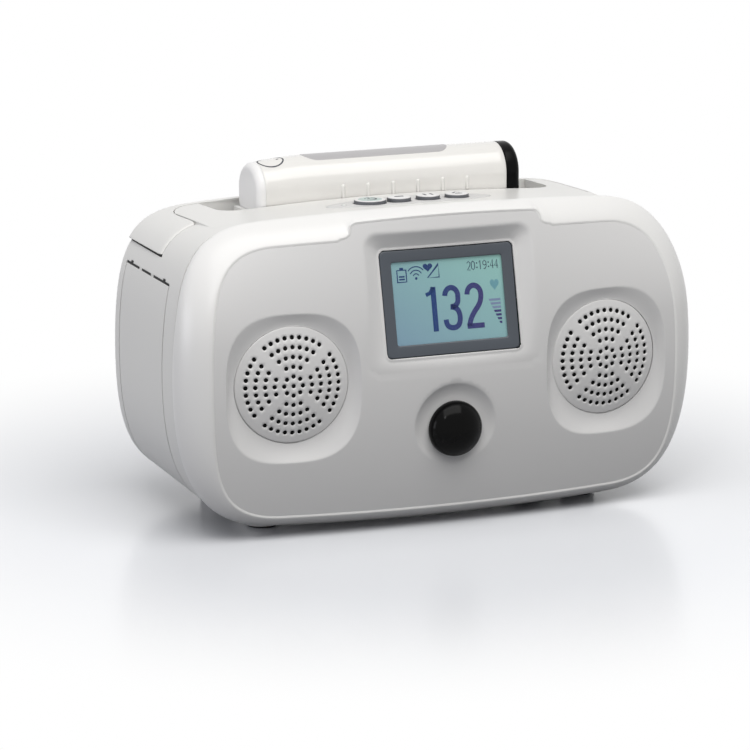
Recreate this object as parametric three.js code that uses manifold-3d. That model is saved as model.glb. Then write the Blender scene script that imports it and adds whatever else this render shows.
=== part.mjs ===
// Fetal doppler: a table unit with two loudspeakers, a tilted display, a volume knob,
// four keys, a side door, a pull-up carry handle and a hand-held wireless probe.
// Millimetres, +Z up, X to the right seen from the front, the front faces -Y.
// Until the last lines, Y = 0 is the plane of the speakers' outer ring of holes.
import * as THREE from 'three';
import { mergeVertices } from 'three/addons/utils/BufferGeometryUtils.js';
import Module from 'manifold-3d';

const wasm = await Module();
wasm.setup();

// Shared clearances
const gap = 0.3;
const runningGap = 0.45;
const overrun = 2;

// Counts of facets
const cornerSteps = 6;
const archSteps = 2;
const roundSteps = 20;
const pinSteps = 10;
const keySteps = 8;
const holeSides = 5;
const grilleHoleSides = 4;

// Height of the front cover over the table
const coverBottomZ = 2;
const coverTopZ = 153.8;
const coverWideZ = 77;

// Display
const viewWidth = 57.4;
const viewHeight = 39.6;
const bezelSide = 5.85;
const bezelBand = 5.7;
const bezelWidth = viewWidth + 2 * bezelSide;
const bezelHeight = viewHeight + 2 * bezelBand;
const bezelDepth = 3;
const bezelCorner = 2.2;
const displayDrop = 43.7;
const displayZ = coverTopZ - displayDrop;
const displayY = 0.7;
const displayTilt = THREE.MathUtils.degToRad(12.8);
const lensDepth = 0.4;
const lensThickness = 0.5;
const lensRebate = 2;
const moduleThickness = 4.6;
const moduleSide = 3.3;
const moduleBand = 3.2;
const moduleWidth = viewWidth + 2 * moduleSide;
const moduleHeight = viewHeight + 2 * moduleBand;
const recessSide = 9.05;
const recessHoodRise = 8.6;
const recessLipDrop = 5;
const recessHalfWidth = bezelWidth / 2 + recessSide;
const recessTopZ = displayZ + bezelHeight / 2 + recessHoodRise;
const recessBottomZ = displayZ - bezelHeight / 2 - recessLipDrop;
const recessCorner = 7;
const recessRimWall = 2.2;

// Speaker pods, one at each side of the display's recess
const discRadius = 28.2;
const podSide = 5.1;
const podBand = 7.5;
const podHalfWidth = discRadius + podSide;
const podHalfHeight = discRadius + podBand;
const podGap = 4.6;
const podX = recessHalfWidth + podGap + podHalfWidth;
const podZ = 75.7;
const podTurn = THREE.MathUtils.degToRad(4.4);
const podSquareness = 2.9;
const podRiseZ = -1.6;
const podSteps = 24;
const discDome = 3.9;
const discEdgeDepth = 1.3;
const discThickness = 1.6;
const discSeat = 2;
const discBlankRim = 5.2;
const holeRadius = 1.02;
const ringCount = 5;
const ringPitch = (discRadius - discBlankRim) / ringCount;
const holesPerRing = 8;
const domeTurnShares = [0.5, 1];
const dishWallShare = 0.5;
const dishHollowShare = 0.72;

// Front cover
const coverSideMargin = 19.9;
const coverHalfWidth = podX + podHalfWidth + coverSideMargin;
const coverCornerRun = 46.7;
const rimSide = 13.4;
const rimTop = 10.6;
const rimBottom = 7.5;
const faceCornerRun = 35.3;
const coverWall = 2.6;
const coverRoundY = 18;
const seamY = 22;
const seamInset = 1.3;
const coverOutline = {
  halfWidth: coverHalfWidth,
  topZ: coverTopZ,
  bottomZ: coverBottomZ,
  wideZ: coverWideZ,
  archX: coverHalfWidth - coverCornerRun,
  topDrop: 3.2,
  topPullX: 31,
  topPullZ: 49,
  bottomDrop: 2.4,
  bottomPullX: 32,
  bottomPullZ: 48.5,
};
const faceOutline = {
  halfWidth: coverHalfWidth - rimSide,
  topZ: coverTopZ - rimTop,
  bottomZ: coverBottomZ + rimBottom,
  wideZ: 79,
  archX: coverHalfWidth - rimSide - faceCornerRun,
  topDrop: 2,
  topPullX: 34.5,
  topPullZ: 47.5,
  bottomDrop: 1.2,
  bottomPullX: 33.5,
  bottomPullZ: 44.5,
};

// Bowed face: foremost in its middle, set back toward every edge
const faceFrontY = -8;
const faceMiddleZ = 70;
const faceBowAcross = 10;
const faceBowUpright = 10;
const faceHalfHeight = 75;
const faceStep = 1;
const faceStepRun = 1.4;
const faceRingShares = [0.3, 0.65, 1];
const rimTurns = [70, 45, 20].map(THREE.MathUtils.degToRad);

// Raised step of the face over the display
const bumpSide = 12.4;
const bumpShoulderRun = 6;
const bumpShoulderDrop = 10.8;
const bumpTopDrop = 2.2;
const bumpHeelDrop = 5;
const bumpHalfWidth = recessHalfWidth + bumpSide;
const bumpTopHalfWidth = bumpHalfWidth - bumpShoulderRun;
const bumpShoulderZ = coverTopZ - bumpShoulderDrop;
const bumpTopZ = coverTopZ - bumpTopDrop;
const bumpFootZ = bumpShoulderZ - bumpHeelDrop;
const bumpCrown = 1.4;
const bumpBackY = 16;
const bumpCorner = 5;

// Volume knob
const knobZ = 48.7;
const knobRadius = 13.5;
const knobBaseY = -6.7;
const knobHeight = 9.6;
const knobSkirt = 1.6;
const knobDishRadius = 21.3;
const knobDishDepth = 2;
const knobDishFloorRadius = 14.6;
const knobBossRadius = 17;
const knobBossDepth = 3;
const shaftRadius = 3;
const shaftReach = 6;
const bushingRadius = 3.6;
const encoderSize = 14;
const encoderDepth = 7;

// Rear housing
const rearY = 121;
const rearRound = 12;
const sideTaper = THREE.MathUtils.degToRad(1.8);
const deckSlope = THREE.MathUtils.degToRad(5.7);
const bottomRise = THREE.MathUtils.degToRad(3.4);
const housingWall = 2.8;
const housingMiddleY = 62;
const roundTurns = [0, 30, 60, 90].map(THREE.MathUtils.degToRad);
const deckFrontY = 29;
const deckSide = 30.7;
const deckHalfWidth = coverHalfWidth - deckSide;
const deckStep = 0.9;
const deckCorner = 8;

// Carry handle
const handleArmWidth = 29.7;
const handleArmCorner = 13;
const handleInnerX = coverHalfWidth - handleArmWidth;
const handleBarX = handleInnerX - handleArmCorner;
const handleFrontY = 60;
const barReach = 16.5;
const handleBarY = rearY - barReach;
const handleEndDrop = 23.8;
const handleEndZ = coverTopZ - handleEndDrop;
const handleProud = 1.6;
const handleSlope = THREE.MathUtils.degToRad(2.2);
const handleRise = Math.tan(deckSlope) - Math.tan(handleSlope);
const handleDepth = 2.6;
const handleSideProud = 1.2;
const barThickness = 8;
const legStep = 3;
const legX = handleInnerX + legStep;
const legWidth = 5;
const legDepth = 10;
const legInset = 20;
const legY = rearY - legInset;
const legGuideWall = 1.8;
const legGuideLength = 34;
const legGuideEndZ = handleEndZ - legGuideLength;
const handleTravel = 22;
const legFootHeight = 5;
const legFootReach = 2.2;

// Cradle and hand recess
const recessEndWall = 4;
const recessHalfLength = handleBarX - recessEndWall;
const recessCornerRadius = 13;
const cradleDrop = 13.2;
const cradleFloorZ = coverTopZ - cradleDrop;
const handFloorDrop = 26.8;
const handFloorZ = coverTopZ - handFloorDrop;
const handStepInset = 17;
const handStepY = rearY - handStepInset;
const tubWall = 2.4;
const saddleHeight = 4;
const saddleThickness = 2.4;

// Side door and battery bay
const doorFrontY = 38;
const doorRearInset = 17;
const doorRearY = rearY - doorRearInset;
const doorBottomZ = 17.5;
const doorTopDrop = 34.2;
const doorTopZ = coverTopZ - doorTopDrop;
const doorThickness = 2.3;
const doorGap = 0.8;
const doorReach = 40;
const hingeInset = 19.1;
const hingeX = coverHalfWidth - hingeInset;
const hingeRise = 2.5;
const hingeZ = doorBottomZ + hingeRise;
const hingePinRadius = 1.2;
const knuckleRadius = 2.4;
const knuckleLength = 9;
const hingeClearRadius = 4.4;
const knuckleInset = 8;
const bayFrontInset = 5;
const bayRearInset = 14;
const bayRise = 11;
const bayTopInset = 13.6;
const bayReach = 38.7;
const bayFrontY = doorFrontY + bayFrontInset;
const bayRearY = doorRearY - bayRearInset;
const bayBottomZ = hingeZ + bayRise;
const bayTopZ = doorTopZ - bayTopInset;
const bayBackX = coverHalfWidth - bayReach;
const bayWall = 2.2;
const batterySideGap = 1.5;
const batteryHeadroom = 3;
const batteryWidth = bayRearY - bayFrontY - 2 * batterySideGap;
const batteryHeight = bayTopZ - bayBottomZ - batteryHeadroom;
const batteryThickness = 18;
const contactWidth = 7;
const contactDepth = 0.8;
const contactHeight = 8;
const contactSpread = 24;

// Keys and key pad
const padY = 51;
const padHalfLength = 43;
const padHalfWidth = 11.5;
const padThickness = 1.6;
const padProud = 0.5;
const powerRadius = 7.8;
const powerX = -20.3;
const keyRadius = 5.9;
const keyPitch = 15.3;
const firstKeyX = -5.1;
const keyProud = 2;
const keyHeight = 6.5;
const keyCollar = 0.5;
const keyCollarHeight = 1.2;
const keyBevel = 0.5;
const keyTravel = 1.2;
const lightX = -34;
const lightRadius = 1.1;
const lightHeight = 3;
const lightProud = 0.2;
const keyBoardLength = 84;
const keyBoardWidth = 22;
const boardThickness = 1.6;
const switchBody = 5;
const switchHeight = 2;

// Main board
const mainBoardY = 36;
const mainBoardHalfWidth = 62;
const mainBoardBottomZ = 22;
const mainBoardTopZ = 100;
const postRadius = 3;
const postX = 44;
const chipSize = 16;
const chipHeight = 2;

// Loudspeakers
const frameInset = 1.7;
const frameRadius = discRadius - frameInset;
const frameDepth = 9;
const frameWall = 1.6;
const frameRimWidth = 3.5;
const coneRimRadius = frameRadius - frameRimWidth;
const coneNeckRadius = 8;
const coneDepth = 7;
const coneThickness = 1;
const magnetRadius = 15;
const magnetDepth = 7;

// Rear sockets
const socketZ = 58;
const jackRadius = 5.6;
const jackBoreRadius = 2.7;
const jackPinRadius = 1;
const phoneRadius = 4;
const phoneBoreRadius = 1.8;
const jackLength = 11;
const jackFlange = 1;
const portWidth = 13;
const portHeight = 6.4;
const portBoreWidth = 9.4;
const portBoreHeight = 2.8;
const portLength = 12;
const powerSocketX = 58;
const phoneSocketX = 36;
const portSocketX = 12;

// Feet and screws
const footRadius = 7;
const footHeight = 2.4;
const footInsetX = 50.7;
const footX = coverHalfWidth - footInsetX;
const footFrontInset = 12;
const footRearInset = 27;
const footFrontY = seamY + footFrontInset;
const footRearY = rearY - footRearInset;
const footRecess = 1.2;
const footPadWall = 1.5;
const screwRadius = 3.2;
const screwSlotWidth = 1;
const screwSlotDepth = 0.8;
const screwHeadHeight = 1.6;
const screwShankRadius = 1.5;
const screwShankLength = 9;
const screwInset = 38.7;
const screwX = coverHalfWidth - screwInset;
const screwLowZ = 30;
const screwTopDrop = 45.8;
const screwHighZ = coverTopZ - screwTopDrop;
const bossRadius = 4.4;
const bossLength = 11;

// Wireless probe
const probeHalfLength = 70;
const probeHalfWidth = 14;
const probeBarGap = 3.8;
const probeY = handleBarY - probeBarGap - probeHalfWidth;
const cradleFrontGap = 1.1;
const recessFrontY = probeY - probeHalfWidth - cradleFrontGap;
const probeHeight = 28.2;
const probeSplitRise = 6.8;
const probeBottomZ = cradleFloorZ + 2 * gap;
const probeTopZ = probeBottomZ + probeHeight;
const probeSplitZ = probeBottomZ + probeSplitRise;
const probeFloorRound = 6;
const probeEndRound = 3.4;
const probeFaceLength = 4;
const probeCapLength = 7.6;
const probeWall = 1.8;
const probeSideSteps = 5;
const probeRoundShares = [0, 0.35, 0.7, 1];
const ribPitch = 13.22;
const ribFirstX = -25.3;
const ribCount = 6;
const ribTopRise = 14.8;
const ribBottomRise = 8.2;
const ribTopZ = probeBottomZ + ribTopRise;
const ribBottomZ = probeBottomZ + ribBottomRise;
const ribProud = 0.9;
const ribWidth = 1.7;
const labelHalfLength = 38.5;
const labelHalfWidth = 7;
const labelX = -3.4;
const labelThickness = 0.6;
const labelProud = 0.2;
const probeBoardLength = 92;
const probeBoardWidth = 18;
const probeBatteryLength = 46;
const probeBatteryRadius = 6;
const crystalRadius = 9;
const crystalThickness = 2.2;
const chargePinRadius = 1.6;
const chargePinX = 20;
const chargePinLength = 5;

const white = 0xefeeeb;
const faceGrey = 0xd2d2d0;
const slate = 0x4a5058;
const black = 0x101010;

// Solids and meshes
function facingOut(geometry) {
  const place = geometry.getAttribute('position');
  const index = geometry.getIndex();
  const corners = [new THREE.Vector3(), new THREE.Vector3(), new THREE.Vector3()];
  let volume = 0;
  for (let face = 0; face < index.count; face += 3) {
    corners.forEach((corner, at) => corner.fromBufferAttribute(place, index.getX(face + at)));
    volume += corners[0].dot(corners[1].clone().cross(corners[2]));
  }
  if (volume < 0) {
    for (let face = 0; face < index.count; face += 3) {
      const first = index.getX(face);
      index.setX(face, index.getX(face + 1));
      index.setX(face + 1, first);
    }
  }
  return geometry;
}

function toSolid(source) {
  let geometry = source.clone();
  geometry.deleteAttribute('normal');
  geometry.deleteAttribute('uv');
  geometry = facingOut(mergeVertices(geometry));
  return new wasm.Manifold(new wasm.Mesh({
    numProp: 3,
    vertProperties: new Float32Array(geometry.getAttribute('position').array),
    triVerts: new Uint32Array(geometry.getIndex().array),
  }));
}

function toGeometry(body) {
  const data = body.getMesh();
  const geometry = new THREE.BufferGeometry();
  geometry.setAttribute('position', new THREE.BufferAttribute(data.vertProperties, 3));
  geometry.setIndex(new THREE.BufferAttribute(data.triVerts, 1));
  geometry.computeVertexNormals();
  return geometry;
}

function makeMesh(name, body, material) {
  const mesh = new THREE.Mesh(toGeometry(body), material);
  mesh.name = name;
  return mesh;
}

const joined = (bodies) => bodies.reduce((all, next) => all.add(next));

// Closed body through rings that all have the same number of points
function loft(rings) {
  const count = rings[0].length;
  const positions = rings.flat().flatMap((point) => [point.x, point.y, point.z]);
  const indices = [];
  for (let ring = 0; ring + 1 < rings.length; ring += 1) {
    for (let at = 0; at < count; at += 1) {
      const here = ring * count + at;
      const next = ring * count + ((at + 1) % count);
      indices.push(here, next, next + count, here, next + count, here + count);
    }
  }
  const addCap = (ring, flip) => {
    const middle = rings[ring].reduce((sum, point) => sum.add(point), new THREE.Vector3());
    middle.divideScalar(count);
    const centre = positions.length / 3;
    positions.push(middle.x, middle.y, middle.z);
    for (let at = 0; at < count; at += 1) {
      const here = ring * count + at;
      const next = ring * count + ((at + 1) % count);
      indices.push(...(flip ? [centre, next, here] : [centre, here, next]));
    }
  };
  addCap(0, true);
  addCap(rings.length - 1, false);
  const geometry = new THREE.BufferGeometry();
  geometry.setAttribute('position', new THREE.Float32BufferAttribute(positions, 3));
  geometry.setIndex(indices);
  return toSolid(geometry);
}

function box(from, to) {
  const size = new THREE.Vector3().subVectors(to, from);
  const geometry = new THREE.BoxGeometry(Math.abs(size.x), Math.abs(size.y), Math.abs(size.z));
  geometry.translate((from.x + to.x) / 2, (from.y + to.y) / 2, (from.z + to.z) / 2);
  return toSolid(geometry);
}

const at = (x, y, z) => new THREE.Vector3(x, y, z);

// Cylinder from one point to another
function rod(from, to, radius, steps = roundSteps) {
  const along = new THREE.Vector3().subVectors(to, from);
  const geometry = new THREE.CylinderGeometry(radius, radius, along.length(), steps);
  const turn = new THREE.Quaternion().setFromUnitVectors(
    new THREE.Vector3(0, 1, 0),
    along.clone().normalize(),
  );
  geometry.applyQuaternion(turn);
  geometry.translate((from.x + to.x) / 2, (from.y + to.y) / 2, (from.z + to.z) / 2);
  return toSolid(geometry);
}

// Plan shape raised from one height to another
function raised(shape, fromZ, toZ, steps = cornerSteps) {
  const geometry = new THREE.ExtrudeGeometry(shape, {
    depth: toZ - fromZ,
    bevelEnabled: false,
    curveSegments: steps,
  });
  geometry.translate(0, 0, fromZ);
  return toSolid(geometry);
}

// Loop of a rectangle with round corners
function roundedLoop(halfWidth, halfHeight, radius, centreX = 0, centreY = 0, steps = archSteps) {
  const loop = [];
  const corners = [[1, 1], [-1, 1], [-1, -1], [1, -1]];
  corners.forEach(([sideX, sideY], corner) => {
    for (let step = 0; step <= steps; step += 1) {
      const turn = ((corner + step / steps) * Math.PI) / 2;
      loop.push(new THREE.Vector2(
        centreX + sideX * (halfWidth - radius) + radius * Math.cos(turn),
        centreY + sideY * (halfHeight - radius) + radius * Math.sin(turn),
      ));
    }
  });
  return loop;
}

const roundedRectangle = (...sizes) => new THREE.Shape(roundedLoop(...sizes));

// Outlines in the X-Z plane, as loops of points with x and y
function outlineLoop(o) {
  const topEnd = o.topZ - o.topDrop;
  const topSlope = (2 * o.topDrop) / o.archX;
  const bottomEnd = o.bottomZ + o.bottomDrop;
  const bottomSlope = (2 * o.bottomDrop) / o.archX;
  const corner = (side, upper) => {
    const pullX = upper ? o.topPullX : o.bottomPullX;
    const endZ = upper ? topEnd : bottomEnd;
    const pulledZ = upper ? topEnd - pullX * topSlope : bottomEnd + pullX * bottomSlope;
    const sideZ = upper ? o.wideZ + o.topPullZ : o.wideZ - o.bottomPullZ;
    return new THREE.CubicBezierCurve(
      new THREE.Vector2(side * o.halfWidth, o.wideZ),
      new THREE.Vector2(side * o.halfWidth, sideZ),
      new THREE.Vector2(side * (o.archX + pullX), pulledZ),
      new THREE.Vector2(side * o.archX, endZ),
    ).getPoints(cornerSteps);
  };
  const arch = (endZ, middleZ) => new THREE.QuadraticBezierCurve(
    new THREE.Vector2(o.archX, endZ),
    new THREE.Vector2(0, 2 * middleZ - endZ),
    new THREE.Vector2(-o.archX, endZ),
  ).getPoints(2 * archSteps);
  const rightTop = corner(1, true);
  const top = arch(topEnd, o.topZ);
  const leftTop = corner(-1, true).reverse();
  const leftBottom = corner(-1, false);
  const bottom = arch(bottomEnd, o.bottomZ).reverse();
  const rightBottom = corner(1, false).reverse();
  return [rightTop, top, leftTop, leftBottom, bottom, rightBottom].flatMap((run) => run.slice(0, -1));
}

function inset(loop, distance) {
  const count = loop.length;
  return loop.map((point, index) => {
    const before = loop[(index + count - 1) % count];
    const after = loop[(index + 1) % count];
    const run = after.clone().sub(before).normalize();
    return new THREE.Vector2(point.x - run.y * distance, point.y + run.x * distance);
  });
}

const blended = (from, to, share) => from.map((point, index) => point.clone().lerp(to[index], share));

const ringAt = (loop, depth) => loop.map((point) => {
  const y = typeof depth === 'function' ? depth(point.x, point.y) : depth;
  return at(point.x, y, point.y);
});

const shrunk = (loop, share, centreZ) => loop.map((point) => new THREE.Vector2(
  point.x * share,
  centreZ + (point.y - centreZ) * share,
));

const bowedY = (x, z) => faceFrontY
  + faceBowAcross * (x / coverHalfWidth) ** 2
  + faceBowUpright * ((z - faceMiddleZ) / faceHalfHeight) ** 2;
const faceY = (x, z) => bowedY(x, z) + faceStep;

// Front cover
function coverShell() {
  const outer = outlineLoop(coverOutline);
  const inner = outlineLoop(faceOutline);
  const face = inset(inner, faceStepRun);
  const rimRing = (turn, wall) => {
    const loop = inset(blended(outer, inner, 1 - Math.cos(turn)), wall * Math.cos(turn));
    return ringAt(loop, (x, z) => {
      const front = bowedY(x, z) + wall;
      return coverRoundY - (coverRoundY - front) * Math.sin(turn);
    });
  };
  const front = faceRingShares.map((share) => ringAt(shrunk(face, share, faceMiddleZ), faceY));
  const back = faceRingShares.map((share) => ringAt(
    shrunk(face, share, faceMiddleZ),
    (x, z) => faceY(x, z) + coverWall,
  )).reverse();
  return loft([
    ...front,
    ringAt(inner, bowedY),
    ...rimTurns.map((turn) => rimRing(turn, 0)),
    ringAt(outer, coverRoundY),
    ringAt(inset(outer, seamInset), seamY),
    ringAt(inset(outer, seamInset + coverWall), seamY),
    ringAt(inset(outer, coverWall), coverRoundY),
    ...rimTurns.slice().reverse().map((turn) => rimRing(turn, coverWall)),
    ...back,
  ]);
}

function bumpLoop(footZ) {
  const shape = new THREE.Shape();
  const topEnd = bumpTopZ - bumpCrown;
  shape.moveTo(bumpHalfWidth, footZ);
  shape.lineTo(bumpHalfWidth, bumpShoulderZ);
  shape.quadraticCurveTo(bumpTopHalfWidth, bumpShoulderZ, bumpTopHalfWidth, topEnd - bumpCorner);
  shape.quadraticCurveTo(bumpTopHalfWidth, topEnd, bumpTopHalfWidth - bumpCorner, topEnd);
  shape.quadraticCurveTo(0, bumpTopZ + bumpCrown, bumpCorner - bumpTopHalfWidth, topEnd);
  shape.quadraticCurveTo(-bumpTopHalfWidth, topEnd, -bumpTopHalfWidth, topEnd - bumpCorner);
  shape.quadraticCurveTo(-bumpTopHalfWidth, bumpShoulderZ, -bumpHalfWidth, bumpShoulderZ);
  shape.lineTo(-bumpHalfWidth, footZ);
  const loop = shape.getPoints(archSteps * 2);
  return loop.filter((point, index) => index === 0 || point.distanceTo(loop[index - 1]) > 0);
}

function bumpBody() {
  const loop = bumpLoop(bumpFootZ);
  const middleZ = (bumpFootZ + bumpTopZ) / 2;
  const front = (x, z) => faceY(x, z) + (z < bumpShoulderZ ? faceStep : 0);
  return loft([
    ringAt(shrunk(loop, faceRingShares[1], middleZ), front),
    ringAt(loop, front),
    ringAt(loop, bumpBackY),
  ]);
}

function bumpHollow() {
  const loop = inset(bumpLoop(bumpFootZ - rearRound), coverWall + faceStepRun);
  return loft([
    ringAt(loop, (x, z) => faceY(x, z) + coverWall),
    ringAt(loop, bumpBackY + overrun),
  ]);
}

// Turned frame of a speaker pod: u to the right, v up, depth away from the front
const podPoint = (side, u, v, depth) => at(u, depth, v)
  .applyAxisAngle(new THREE.Vector3(0, 0, 1), side * podTurn)
  .add(at(side * podX, 0, podZ));

function podRing(side, squareShare, radius, depth) {
  const points = [];
  for (let step = 0; step < podSteps; step += 1) {
    const turn = (step / podSteps) * Math.PI * 2;
    const across = Math.cos(turn);
    const up = Math.sin(turn);
    const reach = (Math.abs(across) ** podSquareness + Math.abs(up) ** podSquareness)
      ** (-1 / podSquareness);
    const u = THREE.MathUtils.lerp(radius * across, podHalfWidth * across * reach, squareShare);
    const v = THREE.MathUtils.lerp(radius * up, podHalfHeight * up * reach + podRiseZ, squareShare);
    points.push(podPoint(side, u, v, depth(u, v, side)));
  }
  return points;
}

// Depth in the turned frame at which a point lies on the bowed face
function faceDepth(u, v, side) {
  const x = side * podX + u * Math.cos(podTurn);
  return faceY(x, podZ + v) - side * u * Math.sin(podTurn);
}

function podTub(side) {
  const wide = discRadius + gap + coverWall;
  return loft([
    podRing(side, 1, wide, (u, v) => faceDepth(u, v, side) + coverWall / 2),
    podRing(side, dishWallShare, wide, () => discEdgeDepth),
    podRing(side, 0, wide, () => discEdgeDepth + discThickness + gap + coverWall),
  ]);
}

function podDish(side) {
  const seat = discRadius + gap;
  const seatDepth = discEdgeDepth + discThickness + gap;
  return loft([
    podRing(side, 1, seat, () => faceFrontY - 2 * overrun),
    podRing(side, 1, seat, (u, v) => faceDepth(u, v, side)),
    podRing(side, dishWallShare, seat, (u, v) => THREE.MathUtils.lerp(
      faceDepth(u, v, side),
      discEdgeDepth,
      dishHollowShare,
    )),
    podRing(side, 0, seat, () => discEdgeDepth),
    podRing(side, 0, seat, () => seatDepth),
  ]).add(rod(
    podPoint(side, 0, 0, seatDepth - gap),
    podPoint(side, 0, 0, seatDepth + coverWall + overrun),
    discRadius - discSeat,
    podSteps,
  ));
}

// Tilted frame of the display: u to the right, v up along the glass, depth away from it
const displayPoint = (u, v, depth) => at(u, depth, v)
  .applyAxisAngle(new THREE.Vector3(1, 0, 0), -displayTilt)
  .add(at(0, displayY, displayZ));

const tiltedRing = (loop, depth) => loop.map((point) => displayPoint(point.x, point.y, depth));

function tiltedPlate(halfWidth, halfHeight, radius, from, to) {
  const loop = roundedLoop(halfWidth, halfHeight, radius);
  return loft([tiltedRing(loop, from), tiltedRing(loop, to)]);
}

function displayRecess(extra, lift) {
  const middleZ = (recessTopZ + recessBottomZ) / 2;
  const wide = roundedLoop(
    recessHalfWidth + extra,
    (recessTopZ - recessBottomZ) / 2 + extra,
    recessCorner + extra,
    0,
    middleZ,
  );
  const narrow = roundedLoop(
    bezelWidth / 2 + gap + extra,
    bezelHeight / 2 + gap + extra,
    bezelCorner + gap + extra,
  );
  return loft([
    ringAt(wide, (x, z) => (lift ? faceY(x, z) + lift / 2 : faceFrontY - overrun)),
    ringAt(wide, (x, z) => faceY(x, z) + lift),
    tiltedRing(narrow, lift),
    tiltedRing(narrow, bezelDepth + gap + lift),
  ]);
}

function knobDish() {
  const circle = (radius) => {
    const loop = [];
    for (let step = 0; step < roundSteps; step += 1) {
      const turn = (step / roundSteps) * Math.PI * 2;
      loop.push(new THREE.Vector2(radius * Math.cos(turn), knobZ + radius * Math.sin(turn)));
    }
    return loop;
  };
  const floorY = faceY(0, knobZ) + knobDishDepth;
  return loft([
    ringAt(circle(knobDishRadius), faceFrontY - overrun),
    ringAt(circle(knobDishRadius), faceY),
    ringAt(circle((knobDishRadius + knobDishFloorRadius) / 2), floorY - knobDishDepth / 4),
    ringAt(circle(knobDishFloorRadius), floorY),
  ]);
}

const knobFloorY = () => faceY(0, knobZ) + knobDishDepth;
const bossBackY = () => knobFloorY() + knobBossDepth;

function knobBoss() {
  return rod(at(0, faceY(0, knobZ) + faceStep, knobZ), at(0, bossBackY(), knobZ), knobBossRadius);
}

function boardPosts() {
  const posts = [];
  for (const x of [-postX, postX]) {
    for (const z of [mainBoardBottomZ + 2 * postRadius, mainBoardTopZ - 2 * postRadius]) {
      posts.push(rod(at(x, faceY(x, z) + coverWall / 2, z), at(x, mainBoardY - gap, z), postRadius, pinSteps));
    }
  }
  return posts;
}

function frontCover() {
  const tubs = [podTub(-1), podTub(1), displayRecess(recessRimWall, faceStep + coverWall / 2)];
  const front = coverShell().add(bumpBody()).subtract(bumpHollow());
  const shell = joined([front, knobBoss(), ...tubs, ...boardPosts()]);
  const windowOpening = tiltedPlate(
    moduleWidth / 2 - coverWall,
    moduleHeight / 2 - coverWall / 2,
    bezelCorner,
    bezelDepth,
    bezelDepth + faceStep + coverWall * 3,
  );
  return shell
    .subtract(podDish(-1))
    .subtract(podDish(1))
    .subtract(displayRecess(0, 0))
    .subtract(windowOpening)
    .subtract(knobDish())
    .subtract(rod(
      at(0, knobFloorY() - overrun, knobZ),
      at(0, bossBackY() + overrun, knobZ),
      bushingRadius + gap,
    ));
}

// Speaker grille: a domed disc with rings of holes that leave the diagonals free
function grilleHoles() {
  const holes = [[0, 0]];
  for (let ring = 1; ring <= ringCount; ring += 1) {
    const places = holesPerRing * ring;
    for (let place = 0; place < places; place += 1) {
      const onDiagonal = ring > 1 && (place - ring) % (2 * ring) === 0;
      if (!onDiagonal) {
        const turn = (place / places) * Math.PI * 2;
        holes.push([ring * ringPitch * Math.cos(turn), ring * ringPitch * Math.sin(turn)]);
      }
    }
  }
  return holes;
}

function grille(side) {
  const domeRadius = (discRadius ** 2 + discDome ** 2) / (2 * discDome);
  const edgeTurn = Math.asin(discRadius / domeRadius);
  const profile = [new THREE.Vector2(0, 0)];
  const rise = (radius, turn) => radius * (1 - Math.cos(turn));
  domeTurnShares.forEach((share) => profile.push(new THREE.Vector2(
    domeRadius * Math.sin(edgeTurn * share),
    rise(domeRadius, edgeTurn * share),
  )));
  domeTurnShares.slice().reverse().forEach((share) => profile.push(new THREE.Vector2(
    domeRadius * Math.sin(edgeTurn * share),
    rise(domeRadius, edgeTurn * share) + discThickness,
  )));
  profile.push(new THREE.Vector2(0, discThickness));
  profile.push(new THREE.Vector2(0, 0));
  const disc = new THREE.LatheGeometry(profile, roundSteps);
  const pins = grilleHoles().map(([u, v]) => {
    const pin = new THREE.CylinderGeometry(
      holeRadius,
      holeRadius,
      discDome + discThickness + 2 * overrun,
      grilleHoleSides,
    );
    pin.translate(u, (discDome + discThickness) / 2, v);
    return toSolid(pin);
  });
  return toSolid(disc).subtract(wasm.Manifold.compose(pins));
}

function placedGrille(side, material) {
  const name = side < 0 ? 'left_speaker_grille' : 'right_speaker_grille';
  const mesh = makeMesh(name, grille(side), material);
  mesh.position.copy(podPoint(side, 0, 0, discEdgeDepth - discDome));
  mesh.rotation.z = side * podTurn;
  return mesh;
}

// Loudspeaker behind each grille
function speakerPieces(side, materials) {
  const prefix = side < 0 ? 'left_speaker' : 'right_speaker';
  const frontDepth = discEdgeDepth + discThickness + 2 * gap + coverWall;
  const turned = (profile) => {
    const lathe = new THREE.LatheGeometry(profile.map(([r, y]) => new THREE.Vector2(r, y)), roundSteps);
    return toSolid(lathe);
  };
  const frameBack = frontDepth + frameDepth;
  const frame = turned([
    [coneRimRadius + gap, 0],
    [frameRadius, 0],
    [frameRadius, frameWall],
    [magnetRadius, frameDepth],
    [coneNeckRadius, frameDepth],
    [coneNeckRadius, frameDepth - frameWall],
    [magnetRadius - frameWall, frameDepth - frameWall],
    [coneRimRadius + gap, frameWall],
    [coneRimRadius + gap, 0],
  ]);
  const cone = turned([
    [0, coneDepth - coneThickness],
    [coneNeckRadius - coneThickness, coneDepth - coneThickness],
    [coneRimRadius, 0],
    [coneRimRadius, coneThickness],
    [coneNeckRadius - coneThickness, coneDepth],
    [0, coneDepth],
    [0, coneDepth - coneThickness],
  ]);
  const magnet = turned([
    [0, 0],
    [magnetRadius, 0],
    [magnetRadius, magnetDepth],
    [0, magnetDepth],
    [0, 0],
  ]);
  const place = (name, body, depth, material) => {
    const mesh = makeMesh(`${prefix}_${name}`, body, material);
    mesh.position.copy(podPoint(side, 0, 0, depth));
    mesh.rotation.z = side * podTurn;
    return mesh;
  };
  return [
    place('frame', frame, frontDepth, materials.steel),
    place('cone', cone, frontDepth, materials.cone),
    place('magnet', magnet, frameBack + gap, materials.steel),
  ];
}

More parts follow.
